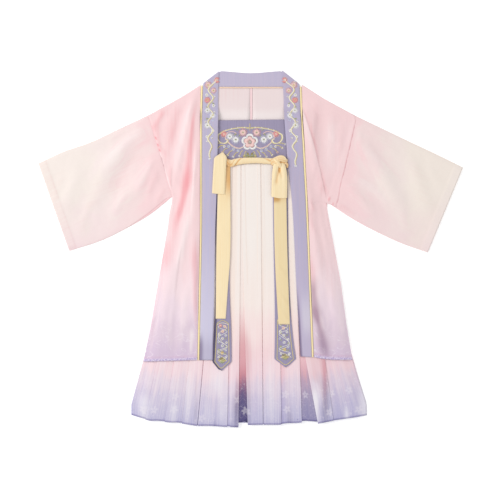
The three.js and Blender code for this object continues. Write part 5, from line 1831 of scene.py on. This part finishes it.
def great_blossom(rows, x, y):
    """The middle blossom: five pink petals with white edges, coral veins and a gold heart."""
    for k in FIVE:
        middle = pi / 2 + 2 * pi * k / 5
        for t in np.linspace(-1, 1, 19):
            angle = middle + 0.56 * t
            edge = GREAT_RADIUS * (1 - 0.2 * abs(t) ** 2.6)
            for inner, outer, shade, wide in ((edge - 7.6, edge, WHITE, 1.8), (4.0, edge - 6.0, PINK, 1.7)):
                rows.append((*off(x, y, angle, (inner + outer) / 2), angle, outer - inner, wide, shade))
        for t in (-0.5, 0.0, 0.5):
            angle = middle + 0.5 * t
            rows += [(*off(x, y, angle, out), angle, 3.4, 0.9, CORAL) for out in (6, 8.8, 11.6)]
            french_knot(rows, *off(x, y, angle, 13.8), 1.3, CORAL)
    for ring, count, size, shade in ((3.6, 9, 1.7, GOLD), (1.8, 5, 1.7, CREAM), (0.0, 1, 1.8, GOLD)):
        for k in range(count):
            french_knot(rows, *off(x, y, 2 * pi * k / count, ring), size, shade)


# Half of the chest's lines, from its middle and its top.
ARCH = [(2, -19), (20, -18), (42, -21), (62, -26), (74, -32)]
ARCH_KNOTS = [(13, -18.4), (30, -18.8), (46, -21.8), (60, -25.6)]
CURL = [(74, -32), (81, -37), (82, -46), (77, -54), (68, -58), (60, -56), (57, -50), (62, -47)]
PINK_VINE = [(15, -66), (27, -70), (42, -65), (54, -54), (61, -42), (55, -31), (43, -29), (34, -33)]
SIDE_BLOSSOMS = [
    (17, -31, 10.0, PINK, GREEN, 0.3, CORAL),
    (65, -35, 8.8, CORAL, CREAM, 0.5, PINK),
    (50, -41, 9.0, WHITE, GREEN, 0.2, WHITE),
    (35, -49, 10.4, WHITE, GREEN, 0.9, BLUE),
]
LOW_BLOSSOMS = [(29, -77, 4.4, BLUE), (41, -73, 4.6, BLUE), (53, -66, 4.6, BLUE), (64, -66, 4, WHITE)]
# Sprays fan out below: from x, y, to x, y, and the thread of the bud at the end.
SPRAYS = [
    (18, -76, 25, -88, WHITE), (30, -80, 40, -90, WHITE), (44, -76, 54, -86, CREAM),
    (56, -70, 67, -79, PINK), (66, -63, 79, -69, CREAM), (72, -58, 86, -60, WHITE),
    (9, -78, 13, -88, GOLD),
]
# Each leaf: x, y, the way it points, its length and its thread.
HIGH_LEAVES = [(40, -38, 2.6, 8, GREEN), (27, -42, 1.9, 7, GREEN), (28, -25, 0.2, 7, GREEN)]
LOW_LEAVES = [
    (1, -90, 0.25, 13, GREEN), (1, -91, -0.35, 10, OLIVE), (2, -87, 0.75, 9, OLIVE), (4, -22, 0.5, 5, GOLD),
]


def chest_half():
    """The rows of the right half."""
    rows = []
    rope(rows, ARCH, GOLD, wide=1.6)
    rope(rows, [(x, y - 1.4) for x, y in ARCH], CREAM, wide=1.5)
    for x, y in ARCH_KNOTS:
        french_knot(rows, x, y + 0.4, 3.5, WHITE)
    for shift, shade in ((0.0, CREAM), (-1.8, CREAM), (-3.4, GOLD)):
        rope(rows, [(x + shift * 0.8, y + shift * 0.2) for x, y in CURL], shade, wide=2.5)
    rope(rows, PINK_VINE, PINK, wide=2.2)
    rope(rows, [(16, -67.6), (28, -71.6), (43, -66.6), (55, -55.6)], CREAM, wide=1.1)
    for look in SIDE_BLOSSOMS:
        blossom(rows, *look)
    for look in HIGH_LEAVES:
        leaf(rows, *look)
    for x, y, size, shade in LOW_BLOSSOMS:
        blossom(rows, x, y, size, shade, GOLD, 0.1 * x)
    for x0, y0, x1, y1, shade in SPRAYS:
        bend = ((x0 + x1) / 2 + 1, (y0 + y1) / 2 + 1.5)
        rope(rows, [(x0, y0), bend, (x1, y1)], GOLD, 3.6, 2.0, 1.7)
        bud(rows, x1, y1, atan2(y1 - y0, x1 - x0), 7.0, shade)
    for look in LOW_LEAVES:
        leaf(rows, *look)
    return [(CHEST_CENTRE + x, CHEST_TOP + y, *rest) for x, y, *rest in rows]


chest = chest_half()
chest += mirrored(chest, CHEST_CENTRE)
great_blossom(chest, CHEST_CENTRE, CHEST_TOP - GREAT_DROP)
rope(chest, [(CHEST_CENTRE, CHEST_TOP - down) for down in (9, 18, 27)], GOLD, wide=1.9)
leaf(chest, CHEST_CENTRE, CHEST_TOP - 96, pi / 2, 9, GREEN)
PIECES["stitches_chest"] = stitched("stitches_chest", chest, PIECES["chest_band_front"])

# %% [markdown]
# ## The collar's and the ribbons' embroidery
# A cream vine waves down each side of the collar. Pink flowers sit in its upper bends and white ones
# lower down, and it ends in a bud. The ribbons' points are framed in gold, and a vine fills the frame.

# %% The collar's and the ribbons' embroidery
VINE_SWING = 6.2
VINE_WAVE = 41.0  # length of one wave
# Each leaf: how far down, how far towards the shoulder, and the way it points.
COLLAR_LEAVES = [
    (21, 9, 2.4), (33, -8, 0.6), (59, -8, 5.6), (73, 9, 2.6), (99, 8, 3.4), (106, -8, 0.4), (136, -8, 5.4),
]


def collar_vine(side):
    """The rows of one side: its vine, the flowers in its bends and the bud at its end."""
    rows = []
    wall = WALLS[f"collar_{side}"]
    mirror = 1 if side == "left" else -1
    top, foot = 424.0, (228.0 if side == "left" else 210.0)

    def middle(y):
        first, last = wall.cut((0.0, y), (1.0, 0.0))
        return (first + last) / 2 + mirror * 3.0 * ease(400, 426, y)

    def swing(y):
        calm = float(ease(foot - 20, foot + 60, y))
        return VINE_SWING * sin(2 * pi * (top - y) / VINE_WAVE + 0.6) * calm

    vine = [(middle(y) + mirror * swing(y), y) for y in np.linspace(top, foot, 30)]
    rope(rows, vine, CREAM, 4.8, 3.8, 1.8)
    rope(rows, [(x + 2.0, y - 0.8) for x, y in vine[2:]], GOLD, 3.8, 1.2, 1.8)
    # Each flower: how far down, how far towards the shoulder, size, petals, heart, rim.
    for down, out, size, shade, heart, rim in (
        (3, -8, 8.0, CORAL, CREAM, PINK), (15, 7, 8.6, PINK, GOLD, CORAL),
        (29, -7, 7.0, PINK, GOLD, CORAL), (40, 9, 5.4, WHITE, GOLD, None),
        (53, 7.5, 8.6, CORAL, GOLD, PINK), (67, -8, 5.4, WHITE, GOLD, None),
        (79, 7, 7.4, WHITE, GREEN, WHITE), (92, -6, 8.2, WHITE, GOLD, BLUE),
        (117, 6.5, 8.4, WHITE, GREEN, WHITE), (130, -7, 5.6, WHITE, GOLD, None),
        (145, 7, 5.0, WHITE, GOLD, None),
    ):
        y = top - down
        blossom(rows, middle(y) - mirror * out, y, size, shade, heart, 0.3 * down, rim=rim)
    for down, out, turn in COLLAR_LEAVES:
        y = top - down
        turn = turn if mirror > 0 else pi - turn
        leaf(rows, middle(y) - mirror * out * 0.5, y, turn, 7.5, GREEN if down % 2 else BLUE)
    for down, out in ((9, 12), (46, -11), (85, -11), (109, 11), (150, -6), (158, 6)):
        y = top - down
        bud(rows, middle(y) - mirror * out, y, pi / 2 + 0.5 * mirror, 6.0, WHITE)
    bud(rows, middle(foot), foot - 1, -pi / 2, 8.0, WHITE)
    return rows


# Each leaf: share of the way across, and how far down.
RIBBON_LEAVES = [
    (0.3, 14), (0.75, 19), (0.3, 34), (0.72, 40), (0.28, 52), (0.75, 60), (0.3, 76), (0.7, 78),
]


def ribbon_point(side):
    """The frame and the filling of one ribbon's point."""
    rows = []
    wall = WALLS[f"ribbon_{side}"]
    tip = wall.low[1]
    start = tip + 118
    inset = 6.5
    left, right = [], []
    for y in np.linspace(start, tip + 9, 40):
        first, last = wall.cut((0.0, y), (1.0, 0.0))
        if last - first > 2 * inset + 1:
            left.append((first + inset, y))
            right.append((last - inset, y))
    point = ((left[-1][0] + right[-1][0]) / 2, left[-1][1] - 3)
    for frame_side in (left, right):
        rope(rows, frame_side + [point], GOLD, 3.8, 1.6, 1.8)
    middle = (left[0][0] + right[0][0]) / 2
    for k, down, shade in ((0, 0, GOLD), (1, 6, CREAM)):
        rope(rows, [left[k], (middle, start + 7 - down), right[k]], shade)

    def across(share, y):
        first, last = wall.cut((0.0, y), (1.0, 0.0))
        return first + inset + 2 + (last - first - 2 * inset - 4) * share

    for phase in (0.0, pi):
        vine = []
        for y in np.linspace(start - 4, tip + 24, 30):
            bend = sin(2 * pi * (start - y) / (31 if phase else 44) + phase + 0.7 * sin(y / 9))
            vine.append((across(0.5 + 0.42 * bend, y), y))
        rope(rows, vine, WHITE if phase else CREAM, 3.6, 1.3, 1.7)
    filling = [
        (0.28, 6, 5.0, CORAL, GOLD), (0.72, 8, 5.0, PINK, GOLD), (0.5, 20, 5.4, PINK, GOLD),
        (0.2, 28, 3.8, WHITE, GOLD), (0.8, 30, 3.8, WHITE, GREEN), (0.5, 38, 4.6, WHITE, GOLD),
        (0.15, 46, 3.4, BLUE, GOLD), (0.86, 48, 3.6, WHITE, GOLD), (0.5, 56, 4.6, WHITE, GREEN),
        (0.2, 66, 3.6, GREEN, GOLD), (0.8, 67, 3.6, BLUE, GOLD), (0.5, 74, 5.4, GOLD, CORAL),
        (0.22, 84, 3.6, WHITE, GOLD), (0.8, 85, 3.6, WHITE, GOLD),
    ]
    for share, down, size, shade, heart in filling:
        blossom(rows, across(share, start - down), start - down, size, shade, heart, 0.4 * down)
    low_middle = across(0.5, tip + 30)
    for turn in np.linspace(0.2, pi - 0.2, 5):
        leaf(rows, low_middle, tip + 24, turn, 11, OLIVE if abs(turn - pi / 2) < 0.9 else GOLD)
    for turn in (-0.9, -pi / 2, -2.2):
        leaf(rows, low_middle, tip + 26, turn, 9, GREEN)
    for share, down in RIBBON_LEAVES:
        leaf(rows, across(share, start - down), start - down, 2.2 if share < 0.5 else 0.9, 6, GREEN)
    return rows


for side in ("left", "right"):
    PIECES[f"stitches_collar_{side}"] = stitched(
        f"stitches_collar_{side}", collar_vine(side), PIECES[f"collar_{side}"]
    )
    PIECES[f"stitches_ribbon_{side}"] = stitched(
        f"stitches_ribbon_{side}", ribbon_point(side), PIECES[f"ribbon_{side}"]
    )

for piece, name, slot, points, rests_on, sewn_on in TO_DECLARE:
    declare(piece, [name], points)
